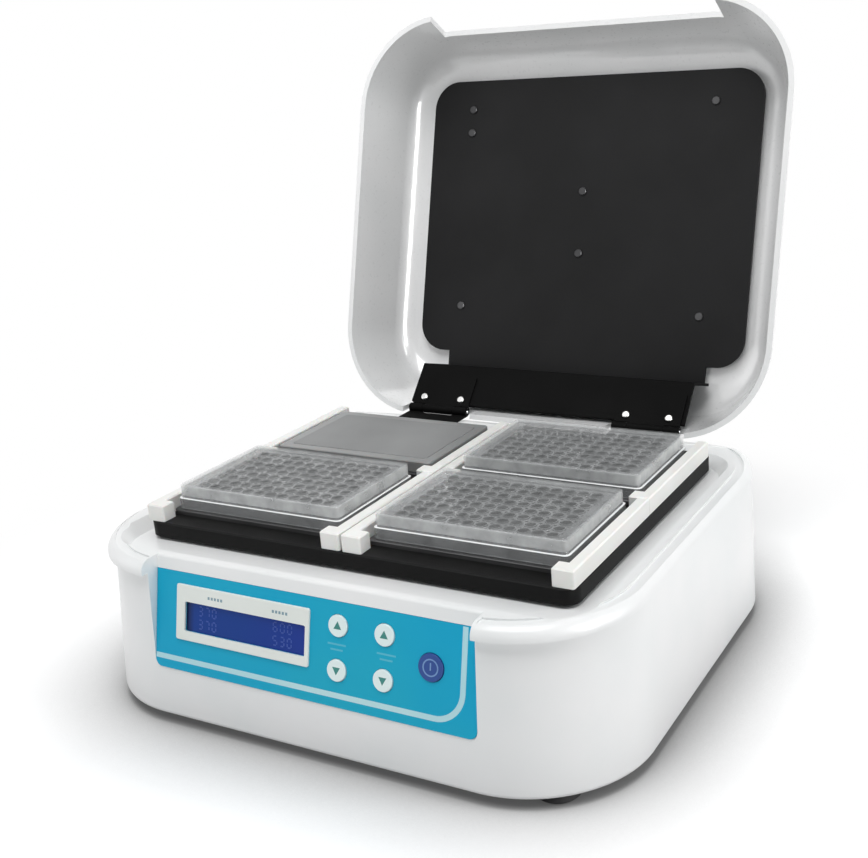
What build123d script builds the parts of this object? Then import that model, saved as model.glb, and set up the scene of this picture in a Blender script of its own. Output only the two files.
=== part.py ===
from build123d import *
from math import cos, radians, sin, sqrt
import os

# Four-plate thermal mixer: a heated orbital shaker for microplates with a deep hinged lid.
# Millimetres. X runs across the front, +Y to the rear, +Z up. The origin lies on the bench,
# below the middle of the open instrument. The lid is modelled open, lying back on its stop.

# ---- driving dimensions ----------------------------------------------------------------

# housing, laid out round the drive shaft and the platform
shaft_y = -62.5               # the shaft stands forward of the middle of the open instrument
side_land = 34.0              # platform's edge to the housing's side at the foot
end_land = 51.0               # the same to its front and rear
base_corner = 74.0
foot_height = 6.0
seam_height = 98.0            # where the top shell meets the lower housing
shell_depth = 8.5             # top shell, from the seam to its deck
wall = 3.0
side_draft = 3.0              # how far each side wall leans in up to the seam
front_draft = 8.0             # the same at the front, where the shell makes a lip
lip_drop = 3.0                # top shell's set-back from the foot print
rim_round = 7.5

# sunk floor of the top shell, round the platform
well_side = 9.0
well_ahead = 21.0
well_behind = 4.5
well_corner = 22.0
well_depth = 8.0              # below the deck
well_slope = 38.0             # degrees from upright

# control panel, lying back in its recess
panel_width = 226.0
panel_height = 61.2
panel_setback = 2.2           # its foot behind the housing's front
panel_drop = 59.3             # panel's foot below the seam
panel_lean = 13.7
panel_thickness = 2.5
panel_corner = 5.0
bezel_centre = (-47.0, 36.9)
recess_round = 2.0            # deck's edge above the panel
bezel_size = (99.0, 34.4)
window_centre = (-44.9, 34.7)
window_size = (89.4, 18.3)
bezel_thickness = 1.2
column_insets = (91.0, 60.0)  # from the panel's right edge
key_rows = (21.6, 47.4)
key_radius = 6.4
start_inset = 29.7
start_height = 34.7
start_radius = 7.9
key_travel = 1.2
key_stand = 1.0               # cap above the panel

# microplates: standard footprint
plate_width = 127.76
plate_depth = 85.48
plate_flange = 7.0
plate_height = 14.35
plate_gap_x = 23.7
plate_gap_y = 21.8
plate_corner = 3.2
well_pitch = 9.0
well_size = 6.6
well_deep = 10.7
cover_top = 16.2              # top of the plate's lid above the plate's underside
sealed_height = 7.6           # the shallow plate at the rear left
sealed_rim = 7.0
mat_thickness = 1.6

# shaking platform and its rails
platform_rim = 0.29           # beyond the outer rails
platform_end = 1.12           # beyond the hooks
platform_gap = 2.2            # above the sunk floor
platform_thickness = 10.0
platform_corner = 9.0
block_thickness = 2.8
block_margin = 2.8            # heating block beyond the plate's edge
rail_width = 7.5
rail_height = 10.8
rail_offset = 3.6             # gap from plate to rail
rail_joint = -3.2             # where front and rear rails meet
hook_depth = 10.5
hook_reach = 6.2              # hook past the bar's inner face
hook_gap = 7.0                # hook to plate

# orbital drive
orbit = 1.5
shaft_radius = 5.0
running_fit = 0.04
bearing_outer = 13.0
bearing_width = 8.0
frame_drop = 22.5             # drive frame below the sunk floor
frame_thickness = 4.0
idler_inset = 33.0            # from the platform's edges
idler_pin = 3.0
idler_journal = 4.0
pulley_radius = 28.0
motor_pulley_radius = 9.0
motor_x = 92.0
motor_radius = 21.0
pulley_drop = 32.0            # pulleys below the drive frame
pulley_width = 12.0

# lid
lid_inset = 7.5               # inside the housing's foot print at the sides
lid_end_inset = 8.5
lid_corner = 70.0
lid_wall = 4.0
lid_height = 68.0
lid_taper = 17.0
lid_round = 26.0
lid_open = 106.3              # degrees from shut to the stop
seat_groove = 1.2             # groove in the deck for the lid's rim
seat_gap = 0.3
notch_width = 232.0
notch_height = 24.0
hinge_notch = (57.0, 119.0)
hinge_notch_height = 12.0
inner_plate_depth = 58.0      # below the lid's rim
inner_plate_side = 36.5       # lid's rim to the inner plate's side
inner_plate_ends = (53.0, 38.5)
inner_plate_corner = 22.0
sheet = 2.0

# hinges
hinge_inset = 13.6            # forward of the housing's rear
hinge_rise = 3.7              # above the deck
hinge_span = (62.0, 114.0)
knuckle_radius = 3.6
hinge_pin_radius = 1.4
leaf_thickness = 1.5
knuckle_gap = 0.35
flange_lean = 27.5            # bracket flange against the lid's rim plane
screw_gauge = 1.6             # shank radius

# rear of the housing
inlet_centre = (-80.0, 46.0)
switch_centre = (-40.0, 46.0)
fan_centre = (70.0, 52.0)
fan_size = 60.0
fan_depth = 15.0

part_gap = 0.3                # between pieces that move past each other
slip = 0.2                    # between pieces dropped into each other

os.makedirs("parts", exist_ok=True)

# ---- derived places --------------------------------------------------------------------

# Places along Y are counted from the drive shaft.
platform_width = 2 * (plate_width + rail_offset + rail_width + platform_rim) + plate_gap_x
platform_depth = 2 * (plate_depth + hook_gap + hook_depth + platform_end) + plate_gap_y
base_width = platform_width + 2 * side_land
base_back = platform_depth / 2 + end_land
base_front = -base_back
base_depth = base_back - base_front
top_width = base_width - 2 * side_draft
top_front = base_front + front_draft
shell_front = base_front + lip_drop
well_width = platform_width + 2 * well_side
well_front = -platform_depth / 2 - well_ahead
well_back = platform_depth / 2 + well_behind
lid_width = base_width - 2 * lid_inset
lid_depth = base_depth - 2 * lid_end_inset
inner_plate_width = lid_width - 2 * inner_plate_side
inner_plate_span = (inner_plate_ends[0], lid_depth - inner_plate_ends[1])
hinge_y = base_back - hinge_inset
deck_height = seam_height + shell_depth
well_floor = deck_height - well_depth
platform_bottom = well_floor + platform_gap
frame_level = well_floor - frame_drop
pulley_level = frame_level - pulley_drop
idler_x = platform_width / 2 - idler_inset
idler_y = platform_depth / 2 - idler_inset
seat_level = deck_height - seat_groove
hinge_z = deck_height + hinge_rise
panel_foot_z = seam_height - panel_drop
key_columns = [panel_width / 2 - inset for inset in column_insets]
start_centre = (panel_width / 2 - start_inset, start_height)
panel_plane = Plane(
    origin=(0, shaft_y + base_front + panel_setback, panel_foot_z),
    x_dir=(1, 0, 0),
    z_dir=(0, -cos(radians(panel_lean)), sin(radians(panel_lean))),
)
plate_x = (plate_gap_x + plate_width) / 2
plate_y = (plate_gap_y + plate_depth) / 2
platform_top = platform_bottom + platform_thickness
block_top = platform_top + block_thickness
plate_bottom = block_top + part_gap
pin_axis = (orbit, 0)

# The lid turns about the hinge axis. Open, its rim plane leans back past upright.
lean = lid_open - 90
shut_rear = lid_depth / 2
shut_level = seat_level + seat_gap
behind = shut_rear - hinge_y
above = shut_level - hinge_z
turn = radians(lid_open)
rim_foot = (
    hinge_y + behind * cos(turn) + above * sin(turn),
    hinge_z - behind * sin(turn) + above * cos(turn),
)
lid_plane = Plane(
    origin=(0, shaft_y + rim_foot[0], rim_foot[1]),
    x_dir=(1, 0, 0),
    z_dir=(0, -cos(radians(lean)), sin(radians(lean))),
)
# Seen along X with the rim as base line: first how far forward of the rear edge, then how deep.
lid_section = Plane(origin=lid_plane.origin, x_dir=lid_plane.y_dir, z_dir=(1, 0, 0))
axis_in_lid = (behind, -above)

# Turned pieces are drawn on this plane and turned about this axis.
upright = Plane(origin=(0, shaft_y, 0), x_dir=(1, 0, 0), z_dir=(0, -1, 0))
shaft_axis = Axis((0, shaft_y, 0), (0, 0, 1))


def outline(width, front, back, corner):
    """Rounded rectangle between a front and a back line."""
    with Locations((0, (front + back) / 2)):
        RectangleRounded(width, back - front, corner)


def level(height):
    """Plane across the drive shaft at a height above the bench."""
    return Plane(origin=(0, shaft_y, height), x_dir=(1, 0, 0), z_dir=(0, 0, 1))


def at_depth(depth):
    """Plane inside the lid, parallel to its rim."""
    return lid_plane.offset(-depth)


# ---- lower housing ---------------------------------------------------------------------

with BuildPart() as housing_core:
    # the hollow inside, kept clear of the wall behind the control panel
    with BuildSketch(level(foot_height)):
        outline(base_width - 2 * wall, base_front + wall, base_back - wall, base_corner - wall)
    with BuildSketch(level(seam_height)):
        outline(top_width - 2 * wall, top_front + wall, base_back - wall, base_corner - wall)
    loft()
    with BuildSketch(panel_plane.offset(-panel_thickness - wall)):
        with Locations((0, panel_height / 2)):
            Rectangle(panel_width + 4 * wall, 2 * panel_height)
    extrude(amount=panel_height, mode=Mode.SUBTRACT)

with BuildPart() as lower_housing:
    with BuildSketch(level(foot_height)):
        outline(base_width, base_front, base_back, base_corner)
    with BuildSketch(level(seam_height)):
        outline(top_width, top_front, base_back, base_corner)
    loft()
    fillet(lower_housing.edges().group_by(Axis.Z)[0], 2.5)
    add(housing_core.part, mode=Mode.SUBTRACT)
    # recess for the control panel, open at its top under the shell's lip
    with BuildSketch(panel_plane.offset(-panel_thickness)) as recess:
        with Locations((0, panel_height)):
            RectangleRounded(panel_width + 2 * slip, 2 * (panel_height + slip), panel_corner)
    extrude(amount=panel_height, mode=Mode.SUBTRACT)
    # window in the recess floor for the display and keys
    with BuildSketch(panel_plane.offset(-panel_thickness)):
        with Locations((0, panel_height * 0.56)):
            RectangleRounded(panel_width - 20, panel_height - 17, 3)
    extrude(amount=-3 * wall, mode=Mode.SUBTRACT)
    # rear wall: inlet, switch and the round fan grille
    rear = Plane(origin=(0, shaft_y + base_back, 0), x_dir=(1, 0, 0), z_dir=(0, -1, 0))
    with BuildSketch(rear):
        with Locations(inlet_centre):
            RectangleRounded(27.8, 20.4, 3)
        with Locations(switch_centre):
            Rectangle(13.2, 27.4)
        slot_pitch = 6.0
        for row in range(-4, 5):
            reach = sqrt((fan_size / 2 - 2) ** 2 - (row * slot_pitch) ** 2)
            with Locations((fan_centre[0], fan_centre[1] + row * slot_pitch)):
                SlotOverall(2 * reach, 3.2)
    extrude(amount=wall + 1, mode=Mode.SUBTRACT)
lower_housing.part.label = "lower_housing"
export_step(lower_housing.part, "parts/lower_housing.step")

# ---- top shell -------------------------------------------------------------------------

hinge_land = hinge_y - 18.0
with BuildPart() as shell_core:
    # hollow underside, stopping short of the thick rear edge that carries the hinges
    with BuildSketch(level(seam_height)):
        outline(top_width - 2 * wall, top_front + wall, base_back - wall, base_corner - wall)
        with Locations((0, hinge_land + base_depth / 2)):
            Rectangle(base_width, base_depth, mode=Mode.SUBTRACT)
    extrude(amount=deck_height - seam_height - wall)
    # and kept clear of the wall behind the control panel
    with BuildSketch(panel_plane.offset(-panel_thickness - wall)):
        with Locations((0, panel_height)):
            Rectangle(panel_width + 4 * wall, 2 * panel_height)
    extrude(amount=panel_height, mode=Mode.SUBTRACT)

with BuildPart() as upper_housing:
    with BuildSketch(level(seam_height)):
        outline(top_width, shell_front, base_back, base_corner - lip_drop)
    extrude(amount=deck_height - seam_height)
    fillet(upper_housing.edges().group_by(Axis.Z)[-1], rim_round)
    add(shell_core.part, mode=Mode.SUBTRACT)
    # the rim is cut back in line with the control panel, over the panel's full width
    with BuildSketch(panel_plane):
        with Locations((0, panel_height)):
            Rectangle(panel_width + 2 * slip, 2 * panel_height)
    extrude(amount=panel_height, mode=Mode.SUBTRACT)
    with BuildSketch(panel_plane.offset(-panel_thickness)):
        with Locations((0, panel_height / 2)):
            Rectangle(panel_width + 2 * slip, panel_height + 2 * slip)
    extrude(amount=panel_height, mode=Mode.SUBTRACT)
    cut_top = panel_plane.from_local_coords((0, (deck_height - panel_foot_z) / cos(radians(panel_lean)), 0))
    fillet(upper_housing.edges().filter_by(Axis.X).sort_by_distance(cut_top)[0], recess_round)
    # sunk floor with sloping walls
    slope_run = (deck_height - well_floor) * sin(radians(well_slope)) / cos(radians(well_slope))
    with BuildSketch(level(well_floor - wall)):
        outline(well_width + 3 * wall, well_front - 1.5 * wall, well_back + 1.5 * wall, well_corner + wall)
    extrude(amount=deck_height - well_floor)
    with BuildSketch(level(well_floor)):
        outline(well_width, well_front, well_back, well_corner)
    extrude(amount=deck_height - well_floor, taper=-well_slope, mode=Mode.SUBTRACT)
    # groove that the lid's rim comes down into
    with BuildSketch(level(deck_height)):
        RectangleRounded(lid_width + 2, lid_depth + 2, lid_corner + 1)
        RectangleRounded(
            lid_width - 2 * lid_wall - 2, lid_depth - 2 * lid_wall - 2, lid_corner - lid_wall - 1,
            mode=Mode.SUBTRACT,
        )
        # none under the lid's finger notch
        with Locations((0, -lid_depth / 2)):
            Rectangle(notch_width - 2, 6 * lid_wall, mode=Mode.SUBTRACT)
    extrude(amount=seat_level - deck_height, mode=Mode.SUBTRACT)
    # rear relief: the open lid's rear wall lies back over it
    relief = hinge_z - 7.8
    with BuildSketch(Plane(origin=(-base_width / 2, shaft_y, 0), x_dir=(0, 1, 0), z_dir=(1, 0, 0))):
        with BuildLine():
            rise = (deck_height - relief) / sin(radians(lean)) * cos(radians(lean))
            drop = (base_back + 4 - hinge_y) * sin(radians(lean)) / cos(radians(lean))
            Polyline(
                (hinge_y - rise, deck_height + 0.01),
                (base_back + 4, relief - drop),
                (base_back + 4, deck_height + 4),
                (hinge_y - rise, deck_height + 4),
                close=True,
            )
        make_face()
    extrude(amount=base_width, mode=Mode.SUBTRACT)
    # holes in the floor for the eccentric pins, and screw holes for the hinges
    with BuildSketch(level(well_floor)):
        Circle(shaft_radius + 2 * orbit)
        with GridLocations(2 * idler_x, 2 * idler_y, 2, 2):
            Circle(idler_pin + 2 * orbit)
    extrude(amount=-wall, mode=Mode.SUBTRACT)
upper_housing.part.label = "upper_housing"
export_step(upper_housing.part, "parts/upper_housing.step")

# ---- floor plate and feet --------------------------------------------------------------

foot_x = base_width / 2 - 39.0
foot_y = base_depth / 2 - 29.0
plate_level = foot_height + 1.0
with BuildPart() as base_plate:
    with BuildSketch(level(plate_level)):
        outline(
            base_width - 2 * wall - 2 * slip - 1, base_front + wall + slip + 0.5,
            base_back - wall - slip - 0.5, base_corner - wall - slip,
        )
    extrude(amount=sheet)
    with BuildSketch(level(plate_level)):
        with GridLocations(26, 34, 4, 2):
            SlotOverall(26, 4, rotation=90)
        with GridLocations(2 * foot_x, 2 * foot_y, 2, 2):
            Circle(screw_gauge + 0.6)
    extrude(amount=sheet, mode=Mode.SUBTRACT)
base_plate.part.label = "base_plate"
export_step(base_plate.part, "parts/base_plate.step")

with BuildPart() as rubber_feet:
    # turned profile: a wide tread, a waist and a recess for the screw head
    with BuildSketch(upright):
        with BuildLine():
            Polyline(
                (screw_gauge + 0.4, plate_level), (12.0, plate_level), (14.0, 1.5), (12.5, 0),
                (5.0, 0), (5.0, 3.0), (screw_gauge + 0.4, 3.0), close=True,
            )
        make_face()
    revolve(axis=shaft_axis)
feet = [rubber_feet.part.moved(Pos(x, y, 0)) for x in (-foot_x, foot_x) for y in (-foot_y, foot_y)]
feet = Compound(children=feet, label="rubber_feet")
export_step(feet, "parts/rubber_feet.step")

# ---- control panel ---------------------------------------------------------------------

key_places = [(x, y) for x in key_columns for y in key_rows]
with BuildPart() as control_panel:
    # rounded at its two lower corners only
    with BuildSketch(panel_plane.offset(-panel_thickness)):
        with Locations((0, panel_height)):
            RectangleRounded(panel_width, 2 * panel_height, panel_corner)
        with Locations((0, 1.5 * panel_height)):
            Rectangle(2 * panel_width, panel_height, mode=Mode.SUBTRACT)
    extrude(amount=panel_thickness)
    with BuildSketch(panel_plane):
        with Locations(window_centre):
            RectangleRounded(window_size[0], window_size[1], 1)
        with Locations(*key_places):
            Circle(key_radius + part_gap)
        with Locations(start_centre):
            Circle(start_radius + part_gap)
    extrude(amount=-panel_thickness, mode=Mode.SUBTRACT)
control_panel.part.label = "control_panel"
export_step(control_panel.part, "parts/control_panel.step")

with BuildPart() as display_bezel:
    with BuildSketch(panel_plane):
        with Locations(bezel_centre):
            RectangleRounded(bezel_size[0], bezel_size[1], 1.5)
    extrude(amount=bezel_thickness)
    chamfer(display_bezel.faces().sort_by(Axis((0, 0, 0), panel_plane.z_dir))[-1].edges(), 0.5)
    with BuildSketch(panel_plane):
        with Locations(window_centre):
            RectangleRounded(window_size[0], window_size[1], 1)
    extrude(amount=bezel_thickness, mode=Mode.SUBTRACT)
display_bezel.part.label = "display_bezel"
export_step(display_bezel.part, "parts/display_bezel.step")

with BuildPart() as display_window:
    with BuildSketch(panel_plane.offset(-1.8)):
        with Locations(window_centre):
            RectangleRounded(window_size[0] - slip, window_size[1] - slip, 1)
    extrude(amount=1.2)
display_window.part.label = "display_window"
export_step(display_window.part, "parts/display_window.step")

board_depth = 14.0            # face of the control board behind the panel's face
with BuildPart() as display_module:
    with BuildSketch(panel_plane.offset(-board_depth)):
        with Locations(window_centre):
            Rectangle(window_size[0] + 6, window_size[1] + 12)
    extrude(amount=board_depth - panel_thickness - 3.2)
    with BuildSketch(panel_plane.offset(-panel_thickness - 3.2)):
        with Locations(window_centre):
            Rectangle(window_size[0] + 2, window_size[1] + 4)
    extrude(amount=3.0)
display_module.part.label = "display_module"
export_step(display_module.part, "parts/display_module.step")

flange_depth = panel_thickness + part_gap
switch_height = 3.4
stem_end = board_depth - switch_height - key_travel - part_gap
with BuildPart() as control_board:
    with BuildSketch(panel_plane.offset(-board_depth - 1.6)):
        with Locations((0, panel_height / 2)):
            Rectangle(panel_width - 26, panel_height - 16)
    extrude(amount=1.6)
    # tact switches under the keys
    with BuildSketch(panel_plane.offset(-board_depth)):
        with Locations(*key_places, start_centre):
            Rectangle(6, 6)
    extrude(amount=switch_height - 0.8)
    with BuildSketch(panel_plane.offset(-board_depth)):
        with Locations(*key_places, start_centre):
            Circle(1.7)
    extrude(amount=switch_height)
    # stand-offs to the wall behind the panel
    with BuildSketch(panel_plane.offset(-board_depth)):
        with GridLocations(panel_width - 34, 1, 2, 1):
            with Locations((0, 11.5)):
                Circle(2.6)
    extrude(amount=board_depth - panel_thickness - wall)
control_board.part.label = "control_board"
export_step(control_board.part, "parts/control_board.step")


def panel_key(place, radius):
    """A round key: domed cap, retaining flange behind the panel and a stem to its switch."""
    with BuildPart() as key:
        with BuildSketch(panel_plane.offset(-flange_depth)):
            with Locations(place):
                Circle(radius)
        extrude(amount=flange_depth + key_stand)
        fillet(key.edges().filter_by(GeomType.CIRCLE).sort_by(Axis.Y)[:1], 0.5)
        with BuildSketch(panel_plane.offset(-flange_depth)):
            with Locations(place):
                Circle(radius + 1.4)
        extrude(amount=-1.2)
        with BuildSketch(panel_plane.offset(-flange_depth - 1.2)):
            with Locations(place):
                Circle(1.8)
        extrude(amount=-(stem_end - flange_depth - 1.2))
    return key


keys = {
    "key_left_up": (key_columns[0], key_rows[1]),
    "key_left_down": (key_columns[0], key_rows[0]),
    "key_right_up": (key_columns[1], key_rows[1]),
    "key_right_down": (key_columns[1], key_rows[0]),
    "key_start_stop": start_centre,
}
for name, place in keys.items():
    key = panel_key(place, start_radius if place == start_centre else key_radius)
    key.part.label = name
    export_step(key.part, f"parts/{name}.step")

# ---- drive frame, bearings and motor ---------------------------------------------------

frame_top = frame_level + frame_thickness
floor_under = well_floor - wall
tube_bottom = frame_level - 16.0
pillar_x, pillar_y = idler_x + 10.0, 40.0
with BuildPart() as drive_frame:
    with BuildSketch(level(frame_level)):
        RectangleRounded(2 * pillar_x + 20, 2 * idler_y + 26, 12)
        with Locations((-62, 52), (-62, -52), (62, 58), (62, -58)):
            RectangleRounded(60, 34, 8, mode=Mode.SUBTRACT)
        with Locations((motor_x, 0)):
            Circle(motor_radius + slip / 2, mode=Mode.SUBTRACT)
    extrude(amount=frame_thickness)
    # bearing tube on the drive axis
    with BuildSketch(level(tube_bottom)):
        Circle(bearing_outer + 5)
    extrude(amount=frame_top - tube_bottom + 6)
    # idler bosses and pillars up to the sunk floor
    with BuildSketch(level(frame_level - 6)):
        with GridLocations(2 * idler_x, 2 * idler_y, 2, 2):
            Circle(idler_journal + 5)
    extrude(amount=frame_thickness + 12)
    with BuildSketch(level(frame_top)):
        with GridLocations(2 * pillar_x, 2 * pillar_y, 2, 2):
            Circle(5)
    extrude(amount=floor_under - frame_top)
    with BuildSketch(level(tube_bottom)):
        Circle(bearing_outer)
    extrude(amount=60, mode=Mode.SUBTRACT)
    with BuildSketch(level(frame_level - 6)):
        with GridLocations(2 * idler_x, 2 * idler_y, 2, 2):
            Circle(idler_journal + 2)
    extrude(amount=60, mode=Mode.SUBTRACT)
drive_frame.part.label = "drive_frame"
export_step(drive_frame.part, "parts/drive_frame.step")

tube_top = frame_top + 6
boss_bottom = frame_level - 6
boss_top = boss_bottom + frame_thickness + 12


def ring(outer, inner, bottom, height):
    """A plain bearing or bush on the Z axis."""
    with BuildPart() as made:
        with BuildSketch(level(bottom)):
            Circle(outer)
            Circle(inner, mode=Mode.SUBTRACT)
        extrude(amount=height)
    return made.part


idler_places = [(x, y) for x in (-idler_x, idler_x) for y in (-idler_y, idler_y)]
shaft_bore = shaft_radius + running_fit
bush = ring(idler_journal + 2, idler_journal + running_fit, boss_bottom + 0.5, boss_top - boss_bottom - 1)
frame_bearings = Compound(
    children=[
        ring(bearing_outer, shaft_bore, tube_bottom + 1, bearing_width),
        ring(bearing_outer, shaft_bore, tube_top - 1 - bearing_width, bearing_width),
        *[bush.moved(Pos(x, y, 0)) for x, y in idler_places],
    ],
    label="frame_bearings",
)
export_step(frame_bearings, "parts/frame_bearings.step")

flange_bottom = tube_top + part_gap
flange_top = floor_under - 1.3
pin_top = platform_top - 2.4
with BuildPart() as eccentric_shaft:
    with BuildSketch(level(pulley_level - 2)):
        Circle(shaft_radius)
    extrude(amount=flange_bottom - pulley_level + 2)
    with BuildSketch(level(flange_bottom)):
        Circle(11)
    extrude(amount=flange_top - flange_bottom)
    with BuildSketch(level(flange_top)):
        with Locations(pin_axis):
            Circle(shaft_radius)
    extrude(amount=pin_top - flange_top)
    chamfer(eccentric_shaft.edges().group_by(Axis.Z)[-1], 0.6)
    chamfer(eccentric_shaft.edges().group_by(Axis.Z)[0], 0.6)
eccentric_shaft.part.label = "eccentric_shaft"
export_step(eccentric_shaft.part, "parts/eccentric_shaft.step")


def grooved_pulley(radius, bore, centre):
    """Flat-belt pulley with a flange at each end."""
    flange = 1.2
    with BuildPart() as made:
        with BuildSketch(upright):
            with BuildLine():
                Polyline(
                    (bore, pulley_level), (radius + 2.5, pulley_level), (radius + 2.5, pulley_level + flange),
                    (radius, pulley_level + flange), (radius, pulley_level + pulley_width - flange),
                    (radius + 2.5, pulley_level + pulley_width - flange),
                    (radius + 2.5, pulley_level + pulley_width), (bore, pulley_level + pulley_width),
                    close=True,
                )
            make_face()
        revolve(axis=shaft_axis)
    return made.part.moved(Pos(centre, 0, 0))


drive_pulley = grooved_pulley(pulley_radius, shaft_radius, 0)
drive_pulley.label = "drive_pulley"
export_step(drive_pulley, "parts/drive_pulley.step")

with BuildPart() as counterweight:
    # half disc opposite the eccentric pin
    with BuildSketch(level(flange_bottom + 0.4)):
        Circle(34)
        Circle(11, mode=Mode.SUBTRACT)
        with Locations((34, 0)):
            Rectangle(68, 80, mode=Mode.SUBTRACT)
    extrude(amount=flange_top - flange_bottom - 0.8)
    fillet(counterweight.edges().filter_by(Axis.Z), 2)
counterweight.part.label = "counterweight"
export_step(counterweight.part, "parts/counterweight.step")

motor_bottom = pulley_level + pulley_width + 2
motor_top = floor_under - 2
rotor_radius = 2.5
with BuildPart() as drive_motor:
    # can with a mounting flange on the drive frame and a blind bore for the rotor shaft
    with BuildSketch(upright):
        with BuildLine():
            Polyline(
                (rotor_radius + running_fit, motor_bottom), (9, motor_bottom), (motor_radius, motor_bottom + 3),
                (motor_radius, frame_top), (motor_radius + 5, frame_top), (motor_radius + 5, frame_top + 2.5),
                (motor_radius, frame_top + 2.5), (motor_radius, motor_top - 1.5),
                (motor_radius - 1.5, motor_top), (0, motor_top), (0, motor_top - 12),
                (rotor_radius + running_fit, motor_top - 12), close=True,
            )
        make_face()
    revolve(axis=shaft_axis)
drive_motor = drive_motor.part.moved(Pos(motor_x, 0, 0))
drive_motor.label = "drive_motor"
export_step(drive_motor, "parts/drive_motor.step")

with BuildPart() as motor_rotor:
    with BuildSketch(level(pulley_level - 1)):
        Circle(rotor_radius)
    extrude(amount=motor_top - 12 - part_gap - pulley_level + 1)
motor_rotor = motor_rotor.part.moved(Pos(motor_x, 0, 0)) + grooved_pulley(motor_pulley_radius, rotor_radius - 0.5, motor_x)
motor_rotor.label = "motor_rotor"
export_step(motor_rotor, "parts/motor_rotor.step")

belt_thickness = 1.4
with BuildPart() as drive_belt:
    # a hull round both pulleys, less the same hull one belt's thickness smaller
    with BuildSketch(level(pulley_level + 1.2 + part_gap)):
        Circle(pulley_radius + part_gap + belt_thickness)
        with Locations((motor_x, 0)):
            Circle(motor_pulley_radius + part_gap + belt_thickness)
        make_hull()
    extrude(amount=pulley_width - 2.4 - 2 * part_gap)
    with BuildSketch(level(pulley_level)):
        Circle(pulley_radius + part_gap)
        with Locations((motor_x, 0)):
            Circle(motor_pulley_radius + part_gap)
        make_hull()
    extrude(amount=pulley_width, mode=Mode.SUBTRACT)
drive_belt.part.label = "drive_belt"
export_step(drive_belt.part, "parts/drive_belt.step")

disc_bottom = boss_top + part_gap
with BuildPart() as idler:
    # journal, crank disc and eccentric pin, with a collar under the boss
    with BuildSketch(level(boss_bottom - part_gap - 2.5)):
        Circle(idler_journal + 1.8)
    extrude(amount=2.5)
    with BuildSketch(level(boss_bottom - part_gap)):
        Circle(idler_journal)
    extrude(amount=disc_bottom - boss_bottom + part_gap)
    with BuildSketch(level(disc_bottom)):
        Circle(7.5)
    extrude(amount=4)
    with BuildSketch(level(disc_bottom + 4)):
        with Locations(pin_axis):
            Circle(idler_pin)
    extrude(amount=pin_top - disc_bottom - 4)
    chamfer(idler.edges().group_by(Axis.Z)[-1], 0.5)
for number, (x, y) in enumerate(idler_places, 1):
    crank = idler.part.moved(Pos(x, y, 0))
    crank.label = f"idler_crank_{number}"
    export_step(crank, f"parts/idler_crank_{number}.step")

# ---- shaking platform ------------------------------------------------------------------

bush_bottom = platform_bottom + 0.5
bush_height = pin_top + 0.3 - bush_bottom
with BuildPart() as shaking_platform:
    with BuildSketch(level(platform_bottom)):
        RectangleRounded(platform_width, platform_depth, platform_corner)
    extrude(amount=platform_thickness)
    chamfer(shaking_platform.edges().group_by(Axis.Z)[-1], 0.8)
    # pockets underneath leave a grid of ribs
    with BuildSketch(level(platform_bottom)):
        with GridLocations(70, 72, 4, 3):
            RectangleRounded(60, 62, 6)
        for x, y in [*idler_places, (0, 0)]:
            with Locations((x + orbit, y)):
                Circle(15, mode=Mode.SUBTRACT)
    extrude(amount=platform_thickness - 3, mode=Mode.SUBTRACT)
    with BuildSketch(level(platform_bottom)):
        with Locations(pin_axis):
            Circle(11)
        with Locations(*[(x + orbit, y) for x, y in idler_places]):
            Circle(6)
    extrude(amount=bush_bottom + bush_height - platform_bottom, mode=Mode.SUBTRACT)
shaking_platform.part.label = "shaking_platform"
export_step(shaking_platform.part, "parts/shaking_platform.step")

bushes = [ring(11, shaft_radius + running_fit, bush_bottom, bush_height).moved(Pos(orbit, 0, 0))]
small = ring(6, idler_pin + running_fit, bush_bottom, bush_height)
bushes += [small.moved(Pos(x + orbit, y, 0)) for x, y in idler_places]
platform_bearings = Compound(children=bushes, label="platform_bearings")
export_step(platform_bearings, "parts/platform_bearings.step")

# the heating block of one plate, with a groove for its sensor
plate_places = [(-plate_x, -plate_y), (plate_x, -plate_y), (-plate_x, plate_y), (plate_x, plate_y)]
with BuildPart() as block:
    with BuildSketch(level(platform_top)):
        RectangleRounded(plate_width + 2 * block_margin, plate_depth + 2 * block_margin, 4)
    extrude(amount=block_thickness)
    chamfer(block.edges().group_by(Axis.Z)[-1], 0.4)
heating_blocks = Compound(
    children=[block.part.moved(Pos(x, y, 0)) for x, y in plate_places], label="heating_blocks"
)
export_step(heating_blocks, "parts/heating_blocks.step")

# rails: a bar along each side of a plate with a hook across its front end
rail_front = platform_end - platform_depth / 2
rail_length = rail_joint - rail_front - part_gap
rail_top = platform_top + rail_height


def plate_rail(inner_x, side, front):
    """Rail whose inner face is at inner_x; side is +1 where its plate lies toward -X."""
    with BuildPart() as made:
        with BuildSketch(level(platform_top)):
            with BuildLine():
                bar = inner_x + side * rail_width
                tip = inner_x - side * hook_reach
                Polyline(
                    (inner_x, front + rail_length), (bar, front + rail_length), (bar, front),
                    (tip, front), (tip, front + hook_depth), (inner_x, front + hook_depth), close=True,
                )
            make_face()
        extrude(amount=rail_height)
        fillet(made.edges().filter_by(Axis.Z).group_by(Axis.Y)[0], 1.5)
        chamfer(made.faces().sort_by(Axis.Z)[-1].edges(), 0.8)
    return made.part


plate_edges = {"left": -plate_x, "right": plate_x}
for row, front in (("front", rail_front), ("rear", rail_joint)):
    for column, centre in plate_edges.items():
        for side_name, side in (("left", -1), ("right", 1)):
            rail = plate_rail(centre + side * (plate_width / 2 + rail_offset), side, front)
            rail.label = f"rail_{row}_{column}_plate_{side_name}"
            export_step(rail, f"parts/{rail.label}.step")

# ---- microplates and their covers ------------------------------------------------------

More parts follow.
